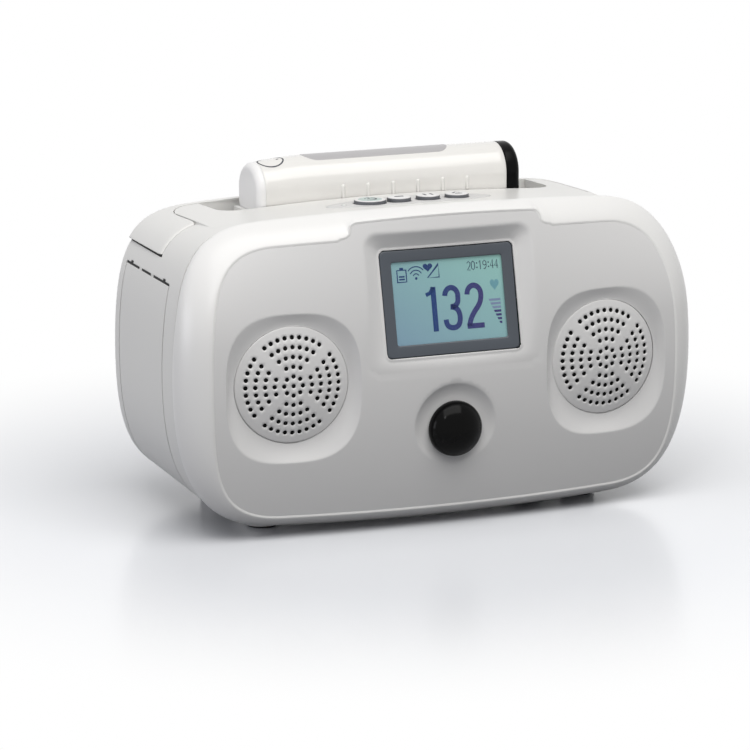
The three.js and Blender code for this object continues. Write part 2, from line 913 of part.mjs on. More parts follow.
// Display bezel, lens and panel
function displayPieces(materials) {
  const bezel = tiltedPlate(bezelWidth / 2, bezelHeight / 2, bezelCorner, 0, bezelDepth)
    .subtract(tiltedPlate(viewWidth / 2, viewHeight / 2, bezelCorner / 2, -overrun, bezelDepth + overrun))
    .subtract(tiltedPlate(
      viewWidth / 2 + lensRebate,
      viewHeight / 2 + lensRebate,
      bezelCorner,
      lensDepth,
      bezelDepth + overrun,
    ));
  const lens = tiltedPlate(
    viewWidth / 2 + lensRebate - gap,
    viewHeight / 2 + lensRebate - gap,
    bezelCorner,
    lensDepth + gap,
    lensDepth + gap + lensThickness,
  );
  const panelFront = bezelDepth + 2 * gap + faceStep + coverWall / 2 + gap;
  const panel = tiltedPlate(moduleWidth / 2, moduleHeight / 2, bezelCorner, panelFront, panelFront + moduleThickness)
    .add(tiltedPlate(
      moduleWidth / 2 - coverWall - gap,
      moduleHeight / 2 - coverWall / 2 - gap,
      bezelCorner,
      lensDepth + lensThickness + 2 * gap,
      panelFront + moduleThickness,
    ));
  return [
    makeMesh('display_bezel', bezel, materials.slate),
    makeMesh('display_lens', lens, materials.lens),
    makeMesh('lcd_module', panel, materials.lcd),
  ];
}

// Volume knob and its encoder
function knobPieces(materials) {
  const profile = [new THREE.Vector2(0, 0), new THREE.Vector2(knobRadius, 0)];
  const domeTurns = [0, 18, 36, 54, 72].map(THREE.MathUtils.degToRad);
  domeTurns.forEach((turn) => profile.push(new THREE.Vector2(
    knobRadius * Math.cos(turn),
    knobSkirt + (knobHeight - knobSkirt) * Math.sin(turn),
  )));
  profile.push(new THREE.Vector2(0, knobHeight), new THREE.Vector2(0, 0));
  const dome = toSolid(new THREE.LatheGeometry(profile, roundSteps));
  const socket = rod(at(0, -overrun, 0), at(0, shaftReach, 0), shaftRadius + gap, pinSteps);
  const knob = makeMesh('volume_knob', dome.subtract(socket), materials.black);
  knob.position.set(0, knobFloorY() - runningGap, knobZ);
  knob.rotation.x = Math.PI;
  const bodyFront = bossBackY() + gap;
  const half = encoderSize / 2;
  const encoder = joined([
    box(at(-half, bodyFront, knobZ - half), at(half, bodyFront + encoderDepth, knobZ + half)),
    rod(at(0, knobFloorY(), knobZ), at(0, bodyFront + gap, knobZ), bushingRadius, pinSteps),
    rod(at(0, knobFloorY() - runningGap - shaftReach + gap, knobZ), at(0, bodyFront, knobZ), shaftRadius, pinSteps),
  ]);
  return [knob, makeMesh('volume_encoder', encoder, materials.steel)];
}

// Rear housing: outline at a depth, with the walls drawn in toward the rear
function housingOutline(y, lift = 0, wider = 0) {
  const run = y - seamY;
  return outlineLoop({
    ...coverOutline,
    halfWidth: coverHalfWidth - seamInset - run * Math.tan(sideTaper) + wider,
    topZ: coverTopZ - seamInset - run * Math.tan(deckSlope) + lift,
    bottomZ: coverBottomZ + seamInset + run * Math.tan(bottomRise),
  });
}

const level = () => 0;

function housingBody(inward, lift = level, wider = 0, frontY = seamY - overrun) {
  const round = rearRound - inward;
  const stations = [frontY, housingMiddleY].map((y) => ringAt(inset(housingOutline(y, lift(y), wider), inward), y));
  const ends = roundTurns.map((turn) => {
    const y = rearY - rearRound + round * Math.sin(turn);
    return ringAt(inset(housingOutline(y, lift(y), wider), inward + round * (1 - Math.cos(turn))), y);
  });
  return loft([...stations, ...ends]);
}

function bothSides(make) {
  return make(-1).add(make(1));
}

// Plan of the carry handle: two wide arms joined by a bar along the rear
function handlePlan(grow) {
  const shape = new THREE.Shape();
  const wide = coverHalfWidth + overrun;
  const back = rearY + overrun;
  shape.moveTo(-wide, handleFrontY - grow);
  shape.lineTo(-handleInnerX + grow, handleFrontY - grow);
  shape.lineTo(-handleInnerX + grow, (handleFrontY + handleBarY) / 2);
  shape.quadraticCurveTo(-handleInnerX + grow, handleBarY - grow, -handleBarX + grow, handleBarY - grow);
  shape.lineTo(handleBarX - grow, handleBarY - grow);
  shape.quadraticCurveTo(handleInnerX - grow, handleBarY - grow, handleInnerX - grow, (handleFrontY + handleBarY) / 2);
  shape.lineTo(handleInnerX - grow, handleFrontY - grow);
  shape.lineTo(wide, handleFrontY - grow);
  shape.lineTo(wide, back);
  shape.lineTo(-wide, back);
  shape.closePath();
  return shape;
}

function deckZ(y) {
  return coverTopZ - seamInset - (y - seamY) * Math.tan(deckSlope);
}

const legEndZ = () => legGuideEndZ - handleTravel - legFootHeight - gap;

function handleLeg(side, grow) {
  const half = legWidth / 2 + grow;
  const topZ = deckZ(legY) - handleDepth - 2 * gap;
  return box(
    at(side * legX - half, legY - legDepth / 2 - grow, legEndZ()),
    at(side * legX + half, legY + legDepth / 2 + grow, topZ),
  );
}

function handleFoot(side) {
  const half = legWidth / 2 + legFootReach;
  return box(
    at(side * legX - half, legY - legDepth / 2, legEndZ()),
    at(side * legX + half, legY + legDepth / 2, legEndZ() + legFootHeight),
  );
}

// The handle falls less than the deck, so it stands prouder toward its bar
const handleLift = (y) => handleProud + (y - handleFrontY) * handleRise;

function carryHandle() {
  const band = housingBody(0, handleLift, handleSideProud)
    .subtract(housingBody(handleDepth));
  const strap = band.intersect(raised(handlePlan(0), handleEndZ, coverTopZ + overrun));
  const underBar = box(
    at(-handleBarX - overrun, handleBarY - overrun, handleEndZ - overrun),
    at(handleBarX + overrun, rearY + overrun, deckZ(rearY) + handleLift(rearY) - barThickness),
  );
  const legs = bothSides((side) => handleLeg(side, 0).add(handleFoot(side)));
  return strap.subtract(underBar).add(legs.intersect(housingBody(handleDepth / 2)));
}

// Recess behind the keys: the probe's cradle, and the hand space under the bar
function recessBody(grow) {
  const profile = new THREE.Shape();
  const front = recessFrontY - grow;
  const floor = cradleFloorZ - grow;
  const back = rearY + overrun;
  const top = coverTopZ + overrun;
  profile.moveTo(front, top);
  profile.lineTo(front, floor + probeFloorRound);
  profile.quadraticCurveTo(front, floor, front + probeFloorRound, floor);
  profile.lineTo(handStepY - probeFloorRound, floor);
  profile.lineTo(handStepY + probeFloorRound - grow, handFloorZ - grow);
  profile.lineTo(back, handFloorZ - grow);
  profile.lineTo(back, top);
  profile.closePath();
  const length = 2 * (recessHalfLength + grow);
  const slab = new THREE.ExtrudeGeometry(profile, {
    depth: length,
    bevelEnabled: false,
    curveSegments: archSteps,
  });
  slab.translate(0, 0, -length / 2);
  const turn = new THREE.Matrix4().makeBasis(at(0, 1, 0), at(0, 0, 1), at(1, 0, 0));
  slab.applyMatrix4(turn);
  const half = (back + recessCornerRadius * 2 - front) / 2;
  const plan = roundedRectangle(
    recessHalfLength + grow,
    half,
    recessCornerRadius + grow,
    0,
    front + half,
  );
  return toSolid(slab).intersect(raised(plan, handFloorZ - overrun - grow, coverTopZ + 2 * overrun));
}

function saddles() {
  return bothSides((side) => {
    const x = side * (probeHalfLength + gap);
    return box(
      at(x, recessFrontY - gap, cradleFloorZ - gap),
      at(x + side * saddleThickness, handStepY - probeFloorRound, cradleFloorZ + saddleHeight),
    );
  });
}

// Side door on the left, with the battery bay behind it
function doorRegion(shrink) {
  const outerX = -coverHalfWidth - overrun;
  const innerX = -coverHalfWidth + doorReach;
  const ring = (y) => {
    const low = doorBottomZ + (y - doorFrontY) * Math.tan(bottomRise) + shrink;
    const high = doorTopZ - shrink;
    return [at(outerX, y, low), at(innerX, y, low), at(innerX, y, high), at(outerX, y, high)];
  };
  return loft([ring(doorFrontY + shrink), ring(doorRearY - shrink)]);
}

// The hinge line runs along the door's lower edge and rises with the housing's bottom
function hingePoint(y, outX = 0, upZ = 0) {
  return at(-hingeX - outX, y, hingeZ + (y - doorFrontY) * Math.tan(bottomRise) + upZ);
}

const hingeRod = (fromY, toY, radius) => rod(hingePoint(fromY), hingePoint(toY), radius, pinSteps);

function bayBox(grow, reachX) {
  return box(
    at(-reachX, bayFrontY - grow, bayBottomZ - grow),
    at(-bayBackX + grow, bayRearY + grow, bayTopZ + grow),
  );
}

const knuckleYs = () => [doorFrontY + knuckleInset + doorGap, doorRearY - knuckleInset - knuckleLength - doorGap];

function knuckleArm(y, grow) {
  const high = knuckleRadius * 2 + grow;
  const out = knuckleRadius * 3;
  const ring = (depth) => [
    hingePoint(depth, out, -grow),
    hingePoint(depth, -grow, -grow),
    hingePoint(depth, -grow, high),
    hingePoint(depth, out, high),
  ];
  return loft([ring(y - grow), ring(y + knuckleLength + grow)]);
}

function sideDoor() {
  const skin = housingBody(0).subtract(housingBody(doorThickness));
  const panel = skin.intersect(doorRegion(doorGap / 2));
  const knuckles = knuckleYs().map((y) => hingeRod(y, y + knuckleLength, knuckleRadius)
    .add(knuckleArm(y, 0).intersect(housingBody(doorThickness / 2))));
  const bore = hingeRod(doorFrontY - overrun, doorRearY + overrun, hingePinRadius + gap);
  return joined([panel, ...knuckles]).subtract(bore);
}

const hingePin = () => hingeRod(doorFrontY - doorGap - gap, doorRearY + doorGap + gap, hingePinRadius);

function footPlaces() {
  const places = [];
  for (const y of [footFrontY, footRearY]) {
    for (const side of [-1, 1]) {
      places.push([side * footX, y]);
    }
  }
  return places;
}

function screwPlaces() {
  const places = [];
  for (const z of [screwLowZ, screwHighZ]) {
    for (const side of [-1, 1]) {
      places.push([side * screwX, z]);
    }
  }
  return places;
}

// Frame of the deck: v runs to the rear along it, height is square to it
const deckPoint = (x, v, height) => at(x, v, height)
  .applyAxisAngle(new THREE.Vector3(1, 0, 0), -deckSlope)
  .add(at(0, padY, deckZ(padY) - deckStep));

function deckPlate(shape, low, high, steps = cornerSteps) {
  const geometry = new THREE.ExtrudeGeometry(shape, {
    depth: high - low,
    bevelEnabled: false,
    curveSegments: steps,
  });
  geometry.translate(0, 0, low);
  geometry.rotateX(-deckSlope);
  geometry.translate(0, padY, deckZ(padY) - deckStep);
  return toSolid(geometry);
}

const padShape = (grow) => new THREE.Shape()
  .absellipse(0, 0, padHalfLength + grow, padHalfWidth + grow, 0, Math.PI * 2);

const circleShape = (x, radius) => new THREE.Shape().absarc(x, 0, radius, 0, Math.PI * 2);

const keyList = () => [
  { name: 'power_key', x: powerX, radius: powerRadius },
  { name: 'left_key', x: firstKeyX, radius: keyRadius },
  { name: 'middle_key', x: firstKeyX + keyPitch, radius: keyRadius },
  { name: 'right_key', x: firstKeyX + 2 * keyPitch, radius: keyRadius },
];

function keyHoles(grow) {
  const low = -housingWall - overrun * 3;
  const holes = keyList().map((key) => deckPlate(circleShape(key.x, key.radius + grow), low, overrun, keySteps));
  return joined(holes);
}

// Depth of the deck's inner face at the outermost key, under the arch of the deck
function deckWall() {
  const reach = Math.abs(powerX) + powerRadius + keyCollar;
  return housingWall - deckStep + (coverOutline.topDrop * reach) / (2 * coverOutline.archX);
}

const boardTop = () => -deckWall() - keyCollarHeight - keyTravel - gap * 2 - switchHeight;

function keyBoardPosts() {
  const x = keyBoardLength / 2 - postRadius;
  return bothSides((side) => rod(
    deckPoint(side * x, 0, boardTop() + gap),
    deckPoint(side * x, 0, padProud - padThickness - gap),
    postRadius - gap,
    pinSteps,
  ));
}

function rearHousing() {
  const outer = housingBody(0, level, 0, seamY + gap);
  const inner = housingBody(housingWall);
  const lowered = housingBody(0, () => -deckStep);
  const deckRegion = raised(
    roundedRectangle(deckHalfWidth, rearY - deckFrontY, deckCorner, 0, rearY),
    handleEndZ,
    coverTopZ + overrun,
  );
  const seatPlan = raised(handlePlan(runningGap), handleEndZ - runningGap, coverTopZ + overrun);
  const seatFloor = housingBody(handleDepth + runningGap);
  const backing = seatFloor.subtract(housingBody(handleDepth + runningGap + tubWall))
    .intersect(raised(handlePlan(runningGap + tubWall), handleEndZ - runningGap - tubWall, coverTopZ));
  const footPads = joined(footPlaces().map(([x, y]) => rod(
    at(x, y, footHeight - footRecess),
    at(x, y, coverBottomZ + rearRound - seamInset),
    footRadius + footPadWall,
  )));
  const footSeats = joined(footPlaces().map(([x, y]) => rod(
    at(x, y, footHeight - footRecess - overrun),
    at(x, y, footHeight + gap),
    footRadius + gap,
  )));
  const bosses = joined(screwPlaces().map(([x, z]) => rod(
    at(x, rearY - housingWall / 2, z),
    at(x, rearY - bossLength - housingWall, z),
    bossRadius,
    pinSteps,
  ).intersect(outer)));
  const bossHoles = joined(screwPlaces().map(([x, z]) => joined([
    rod(at(x, rearY + overrun, z), at(x, rearY - screwHeadHeight - gap, z), screwRadius + gap, pinSteps),
    rod(at(x, rearY, z), at(x, rearY - screwHeadHeight - screwShankLength - gap, z), screwShankRadius + gap, pinSteps),
  ])));
  const guides = bothSides((side) => {
    const half = legWidth / 2 + runningGap + legGuideWall;
    const halfDepth = legDepth / 2 + runningGap + legGuideWall;
    return box(
      at(side * legX - half, legY - halfDepth, legGuideEndZ),
      at(side * legX + half, legY + halfDepth, deckZ(legY) - handleDepth - tubWall),
    ).intersect(seatFloor);
  });
  const legHoles = bothSides((side) => handleLeg(side, runningGap));
  const bay = bayBox(bayWall, coverHalfWidth).intersect(housingBody(doorThickness + gap));
  const doorLedge = housingBody(doorThickness + gap)
    .subtract(housingBody(doorThickness + gap + bayWall))
    .intersect(doorRegion(-bayWall));
  const doorSeat = doorRegion(-doorGap / 2).subtract(housingBody(doorThickness + gap));
  const hingeClear = joined([
    hingeRod(doorFrontY, doorRearY, hingeClearRadius),
    ...knuckleYs().map((y) => knuckleArm(y, 2 * gap)),
  ]);
  const pinBore = hingeRod(doorFrontY - doorGap - 2 * gap, doorRearY + doorGap + 2 * gap, hingePinRadius + gap);
  const shell = outer.subtract(inner);
  const body = joined([shell, backing, recessBody(tubWall).intersect(outer), footPads, bosses, guides, bay, doorLedge]);
  return body
    .subtract(deckRegion.subtract(lowered))
    .subtract(seatPlan.subtract(seatFloor))
    .subtract(recessBody(0))
    .add(saddles())
    .subtract(footSeats)
    .subtract(bossHoles)
    .subtract(legHoles)
    .subtract(doorSeat)
    .subtract(bayBox(0, coverHalfWidth))
    .subtract(hingeClear)
    .subtract(pinBore)
    .subtract(deckPlate(padShape(gap), -padThickness + padProud - gap, overrun))
    .subtract(keyHoles(runningGap))
    .subtract(deckPlate(circleShape(lightX, lightRadius + gap), -housingWall - overrun, overrun, holeSides))
    .add(keyBoardPosts())
    .subtract(socketHoles())
    .subtract(chargeHoles());
}

// Rear sockets
const socketHoles = () => joined([
  rod(at(powerSocketX, rearY - jackLength, socketZ), at(powerSocketX, rearY + overrun, socketZ), jackRadius + gap),
  rod(at(phoneSocketX, rearY - jackLength, socketZ), at(phoneSocketX, rearY + overrun, socketZ), phoneRadius + gap),
  box(
    at(portSocketX - portWidth / 2 - gap, rearY - portLength, socketZ - portHeight / 2 - gap),
    at(portSocketX + portWidth / 2 + gap, rearY + overrun, socketZ + portHeight / 2 + gap),
  ),
]);

function socketPieces(materials) {
  const front = rearY + gap / 2;
  const barrel = (x, radius, bore) => rod(
    at(x, rearY - jackLength, socketZ),
    at(x, front, socketZ),
    radius,
  ).subtract(rod(at(x, rearY - jackLength + jackFlange, socketZ), at(x, front + overrun, socketZ), bore, pinSteps));
  const powerPin = rod(
    at(powerSocketX, rearY - jackLength, socketZ),
    at(powerSocketX, front - jackFlange, socketZ),
    jackPinRadius,
    pinSteps,
  );
  const port = box(
    at(portSocketX - portWidth / 2, rearY - portLength + gap, socketZ - portHeight / 2),
    at(portSocketX + portWidth / 2, front, socketZ + portHeight / 2),
  ).subtract(box(
    at(portSocketX - portBoreWidth / 2, rearY - portLength + jackFlange + gap, socketZ - portBoreHeight / 2),
    at(portSocketX + portBoreWidth / 2, front + overrun, socketZ + portBoreHeight / 2),
  ));
  return [
    makeMesh('power_socket', barrel(powerSocketX, jackRadius, jackBoreRadius).add(powerPin), materials.black),
    makeMesh('headphone_socket', barrel(phoneSocketX, phoneRadius, phoneBoreRadius), materials.black),
    makeMesh('data_socket', port, materials.steel),
  ];
}

// Charging pins in the floor of the cradle
const chargeXs = () => [-chargePinX, chargePinX];

const chargeHoles = () => joined(chargeXs().map((x) => rod(
  at(x, probeY, cradleFloorZ - tubWall - overrun),
  at(x, probeY, cradleFloorZ + overrun),
  chargePinRadius + gap,
  pinSteps,
)));

function chargePins(materials) {
  return chargeXs().map((x, index) => makeMesh(
    index === 0 ? 'left_charge_pin' : 'right_charge_pin',
    rod(at(x, probeY, cradleFloorZ - chargePinLength), at(x, probeY, cradleFloorZ + gap), chargePinRadius, pinSteps),
    materials.brass,
  ));
}

function screws(materials) {
  return screwPlaces().map(([x, z], index) => {
    const body = joined([
      rod(at(x, rearY, z), at(x, rearY - screwHeadHeight, z), screwRadius, pinSteps),
      rod(
        at(x, rearY - screwHeadHeight / 2, z),
        at(x, rearY - screwHeadHeight - screwShankLength, z),
        screwShankRadius,
        pinSteps,
      ),
    ]).subtract(box(
      at(x - screwRadius / 2, rearY - screwSlotDepth, z - screwSlotWidth / 2),
      at(x + screwRadius / 2, rearY + overrun, z + screwSlotWidth / 2),
    ));
    return makeMesh(`case_screw_${index + 1}`, body, materials.steel);
  });
}

function feet(materials) {
  return footPlaces().map(([x, y], index) => makeMesh(
    `rubber_foot_${index + 1}`,
    rod(at(x, y, 0), at(x, y, footHeight), footRadius),
    materials.rubber,
  ));
}

// Key pad, keys, status light and their board
function keyPieces(materials) {
  const low = -padThickness + padProud;
  const pad = deckPlate(padShape(0), low, padProud)
    .subtract(joined(keyList().map((key) => deckPlate(
      circleShape(key.x, key.radius + runningGap),
      low - overrun,
      padProud + overrun,
      keySteps,
    ))))
    .subtract(deckPlate(circleShape(lightX, lightRadius + gap), low - overrun, padProud + overrun, holeSides));
  const keys = keyList().map((key) => {
    const top = keyProud;
    const bottom = -deckWall() - keyCollarHeight - gap;
    const body = joined([
      deckPlate(circleShape(key.x, key.radius), bottom, top - keyBevel, keySteps),
      deckPlate(circleShape(key.x, key.radius - keyBevel), bottom, top, keySteps),
      deckPlate(circleShape(key.x, key.radius + keyCollar), bottom, bottom + keyCollarHeight, keySteps),
    ]);
    return makeMesh(key.name, body, key.name === 'power_key' ? materials.powerKey : materials.key);
  });
  const light = makeMesh(
    'status_light',
    deckPlate(circleShape(lightX, lightRadius), padProud + lightProud - lightHeight, padProud + lightProud, holeSides),
    materials.light,
  );
  const top = boardTop();
  const board = deckPlate(
    roundedRectangle(keyBoardLength / 2, keyBoardWidth / 2, postRadius),
    top - boardThickness,
    top,
    archSteps,
  ).add(joined(keyList().map((key) => deckPlate(
    roundedRectangle(switchBody / 2, switchBody / 2, keyBevel, key.x),
    top - boardThickness / 2,
    top + switchHeight,
    archSteps,
  ))));
  return { pad: makeMesh('key_pad', pad, materials.pad), keys, light, board: makeMesh('key_board', board, materials.board) };
}

// Main board on the posts of the front cover
function mainBoard(materials) {
  const half = chipSize / 2;
  const middleZ = (mainBoardTopZ + mainBoardBottomZ) / 2;
  const body = box(
    at(-mainBoardHalfWidth, mainBoardY, mainBoardBottomZ),
    at(mainBoardHalfWidth, mainBoardY + boardThickness, mainBoardTopZ),
  ).add(box(
    at(-half, mainBoardY + boardThickness / 2, middleZ - half),
    at(half, mainBoardY + boardThickness + chipHeight, middleZ + half),
  ));
  return makeMesh('main_board', body, materials.board);
}

// Battery pack with two contact blades at its inner end
function batteryPieces(materials) {
  const back = -bayBackX - gap;
  const middleY = (bayFrontY + bayRearY) / 2;
  const low = bayBottomZ + gap;
  const pack = box(
    at(back - batteryThickness, middleY - batteryWidth / 2, low),
    at(back - contactDepth - gap, middleY + batteryWidth / 2, low + batteryHeight),
  );
  const blades = [-1, 1].map((side) => makeMesh(
    side < 0 ? 'front_battery_contact' : 'rear_battery_contact',
    box(
      at(back, middleY + side * contactSpread / 2 - contactWidth / 2, low + contactHeight),
      at(back - contactDepth, middleY + side * contactSpread / 2 + contactWidth / 2, low + 2 * contactHeight),
    ),
    materials.brass,
  ));
  return [makeMesh('battery_pack', pack, materials.battery), ...blades];
}

// Wireless probe: an arch-shaped section carried along X
function probeSection(shrink) {
  const half = probeHalfWidth - shrink;
  const shape = new THREE.Shape();
  const floor = probeBottomZ + shrink;
  const round = probeFloorRound - shrink / 2;
  const spring = probeTopZ - probeHalfWidth;
  shape.moveTo(half, spring);
  shape.absellipse(0, spring, half, probeTopZ - shrink - spring, 0, Math.PI, false, 0);
  shape.lineTo(-half, floor + round);
  shape.absarc(-half + round, floor + round, round, Math.PI, Math.PI * 1.5, false);
  shape.lineTo(half - round, floor);
  shape.absarc(half - round, floor + round, round, Math.PI * 1.5, Math.PI * 2, false);
  const loop = shape.getPoints(probeSideSteps);
  return loop.filter((point, index) => {
    const next = loop[(index + 1) % loop.length];
    return point.distanceTo(next) > gap / 10;
  });
}

const probeRing = (shrink, x) => probeSection(shrink).map((point) => at(x, probeY + point.x, point.y));

function probeLength(fromX, toX, shrink) {
  const ends = probeHalfLength - probeEndRound;
  const rings = [];
  const roundedShrink = (x) => {
    const past = Math.max(0, Math.abs(x) - ends);
    return probeEndRound - Math.sqrt(Math.max(0, probeEndRound ** 2 - past ** 2));
  };
  const rightStops = probeRoundShares.map((share) => ends + share * probeEndRound);
  const stops = [...rightStops.map((x) => -x).reverse(), ...rightStops];
  const places = [fromX, ...stops.filter((x) => x > fromX && x < toX), toX];
  places.forEach((x) => rings.push(probeRing(shrink + roundedShrink(x), x)));
  return loft(rings);
}

function probeBodyCut() {
  return box(
    at(-probeHalfLength - overrun, probeY - probeHalfWidth - overrun, probeBottomZ - overrun),
    at(probeHalfLength + overrun, probeY + probeHalfWidth + overrun, probeSplitZ),
  );
}

function probeRibs() {
  const ribs = [];
  for (let index = 0; index < ribCount; index += 1) {
    const x = ribFirstX + index * ribPitch;
    const frontY = probeY - probeHalfWidth;
    ribs.push(box(
      at(x - ribWidth / 2, frontY - ribProud, ribBottomZ),
      at(x + ribWidth / 2, frontY + probeWall / 2, ribTopZ - ribWidth / 2),
    ));
    ribs.push(rod(
      at(x, frontY - ribProud, ribTopZ - ribWidth / 2),
      at(x, frontY + probeWall / 2, ribTopZ - ribWidth / 2),
      ribWidth / 2,
      holeSides,
    ));
  }
  return ribs;
}

function labelShape(grow) {
  const high = labelHalfWidth + grow;
  return new THREE.Shape(roundedLoop(labelHalfLength + grow, high, high, labelX, probeY));
}

function probePieces(materials) {
  const bodyLeft = -probeHalfLength + probeFaceLength + gap;
  const bodyRight = probeHalfLength - probeCapLength - gap;
  const wallX = probeWall + gap;
  const whole = probeLength(bodyLeft, bodyRight, 0);
  const hollow = probeLength(bodyLeft + wallX, bodyRight - wallX, probeWall);
  const shell = whole.subtract(hollow);
  const labelRegion = raised(labelShape(gap), probeTopZ - probeHalfWidth / 2, probeTopZ + overrun, roundSteps);
  const labelSink = labelRegion.subtract(probeLength(bodyLeft, bodyRight, labelThickness));
  const split = probeBodyCut();
  const upperRibs = joined([shell.subtract(split), ...probeRibs()]);
  const upper = upperRibs.subtract(labelSink);
  const lower = shell.intersect(split).subtract(box(
    at(-probeHalfLength, probeY - probeHalfWidth - overrun, probeSplitZ - gap),
    at(probeHalfLength, probeY + probeHalfWidth + overrun, probeSplitZ + gap),
  ));
  const label = raised(labelShape(0), probeTopZ - probeHalfWidth / 2, probeTopZ + overrun, roundSteps)
    .intersect(probeLength(bodyLeft, bodyRight, -labelProud))
    .subtract(probeLength(bodyLeft, bodyRight, labelThickness - gap));
  const face = probeLength(-probeHalfLength, -probeHalfLength + probeFaceLength, 0);
  const cap = probeLength(probeHalfLength - probeCapLength, probeHalfLength, 0);
  const innerLeft = bodyLeft + wallX + gap;
  const boardZ = probeSplitZ + gap;
  const half = probeBoardWidth / 2;
  const boardBody = box(
    at(innerLeft, probeY - half, boardZ),
    at(innerLeft + probeBoardLength, probeY + half, boardZ + boardThickness),
  );
  const posts = joined([innerLeft + 4 * postRadius, innerLeft + probeBoardLength - 2 * postRadius].map((x) => rod(
    at(x, probeY, probeBottomZ + probeWall / 2),
    at(x, probeY, boardZ - gap),
    postRadius,
    pinSteps,
  )));
  const cellRadius = probeBatteryRadius;
  const cellZ = boardZ + boardThickness + gap + cellRadius;
  const cell = rod(
    at(-probeBatteryLength / 2, probeY, cellZ),
    at(probeBatteryLength / 2, probeY, cellZ),
    cellRadius,
    pinSteps,
  );
  const crystalX = bodyLeft - 2 * gap;
  const crystalZ = (probeBottomZ + probeTopZ) / 2;
  const crystalSeat = rod(
    at(crystalX - crystalThickness - gap, probeY, crystalZ),
    at(crystalX + overrun, probeY, crystalZ),
    crystalRadius + gap,
  );
  const crystal = rod(
    at(crystalX - crystalThickness, probeY, crystalZ),
    at(crystalX, probeY, crystalZ),
    crystalRadius,
  );
  return [
    makeMesh('probe_upper_shell', upper, materials.white),
    makeMesh('probe_lower_shell', lower.add(posts), materials.white),
    makeMesh('probe_face', face.subtract(crystalSeat), materials.probeFace),
    makeMesh('probe_end_cap', cap, materials.black),
    makeMesh('probe_label', label, materials.label),
    makeMesh('probe_crystal', crystal, materials.brass),
    makeMesh('probe_board', boardBody, materials.board),
    makeMesh('probe_battery', cell, materials.battery),
  ];
}

function paint(color, roughness, metalness = 0) {
  return new THREE.MeshStandardMaterial({ color, roughness, metalness });
}

function makeMaterials() {
  return {
    white: paint(white, 0.25),
    cover: paint(faceGrey, 0.35),
    slate: paint(slate, 0.4),
    lens: paint(0xb9cfd4, 0.08),
    lcd: paint(0x8fb5bc, 0.3),
    black: paint(black, 0.15),
    pad: paint(0xbdbdc0, 0.4),
    powerKey: paint(0xb8c8c4, 0.35),
    key: paint(0xe6e6e4, 0.35),
    light: paint(0x4f8f6a, 0.3),
    board: paint(0x2c5a3c, 0.6),
    steel: paint(0x9a9c9e, 0.35, 0.9),
    brass: paint(0xc9a45c, 0.35, 0.9),
    cone: paint(0x2a2a2a, 0.8),
    battery: paint(0x3a3f46, 0.5),
    rubber: paint(0x1c1c1c, 0.9),
    probeFace: paint(0xe4e4e4, 0.45),
    label: paint(0x8c8a8a, 0.4),
  };
}

function tableUnit(materials) {
  const unit = new THREE.Group();
  const keySet = keyPieces(materials);
  unit.add(
    makeMesh('front_cover', frontCover(), materials.cover),
    placedGrille(-1, materials.cover),
    placedGrille(1, materials.cover),
    ...speakerPieces(-1, materials),
    ...speakerPieces(1, materials),
    ...displayPieces(materials),
    ...knobPieces(materials),
    makeMesh('rear_housing', rearHousing(), materials.white),
    makeMesh('carry_handle', carryHandle(), materials.white),
    makeMesh('side_door', sideDoor(), materials.white),
    makeMesh('door_hinge_pin', hingePin(), materials.steel),
    keySet.pad,
    ...keySet.keys,
    keySet.light,
    keySet.board,
    mainBoard(materials),
    ...batteryPieces(materials),
    ...socketPieces(materials),
    ...chargePins(materials),
    ...screws(materials),
    ...feet(materials),
  );
  return unit;
}

function wirelessProbe(materials) {
  const probe = new THREE.Group();
  probe.add(...probePieces(materials));
  return probe;
}

// The whole doppler stands on Z = 0 with the origin under the middle of its box
const materials = makeMaterials();
const doppler = new THREE.Group();
doppler.add(tableUnit(materials), wirelessProbe(materials));
doppler.updateMatrixWorld(true);
const bounds = new THREE.Box3().setFromObject(doppler, true);
const centre = bounds.getCenter(new THREE.Vector3());
doppler.position.set(-centre.x, -centre.y, -bounds.min.z);

export default doppler;
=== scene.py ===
import math

import bpy
import numpy as np
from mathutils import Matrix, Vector
from mathutils.geometry import delaunay_2d_cdt


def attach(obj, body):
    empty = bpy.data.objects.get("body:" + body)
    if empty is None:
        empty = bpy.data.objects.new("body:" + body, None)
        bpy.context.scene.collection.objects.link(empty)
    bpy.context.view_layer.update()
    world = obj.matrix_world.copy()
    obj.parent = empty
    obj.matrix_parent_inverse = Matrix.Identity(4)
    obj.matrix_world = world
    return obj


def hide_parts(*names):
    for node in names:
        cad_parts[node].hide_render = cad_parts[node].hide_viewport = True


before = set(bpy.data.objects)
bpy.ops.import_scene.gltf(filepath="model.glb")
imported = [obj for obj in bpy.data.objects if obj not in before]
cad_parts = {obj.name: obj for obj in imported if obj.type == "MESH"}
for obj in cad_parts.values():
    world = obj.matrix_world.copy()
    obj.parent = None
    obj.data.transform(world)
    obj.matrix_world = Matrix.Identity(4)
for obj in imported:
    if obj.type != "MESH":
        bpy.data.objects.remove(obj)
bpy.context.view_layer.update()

scene = bpy.context.scene
unit = "table_unit"
rearShift = 53.4532806  # millimetres from the drawing's y = 0 to the frame's


# Points are millimetres in the drawing and metres in the mesh
def newObject(name, points, faces):
    mesh = bpy.data.meshes.new(name)
    places = (np.asarray(points, float) - [0.0, rearShift, 0.0]) / 1000
    mesh.from_pydata(places.tolist(), [], [list(face) for face in faces])
    mesh.update()
    thing = bpy.data.objects.new(name, mesh)
    scene.collection.objects.link(thing)
    return thing


# Quads of a grid of points whose columns close on themselves, and its rows too if it is ringed
def gridQuads(rows, columns, ringed=False):
    row = np.arange(rows if ringed else rows - 1)[:, None] * columns
    below = (row + columns) % (rows * columns)
    column = np.arange(columns)
    beside = np.roll(column, -1)
    return np.stack([row + column, row + beside, below + beside, below + column], -1).reshape(-1, 4)


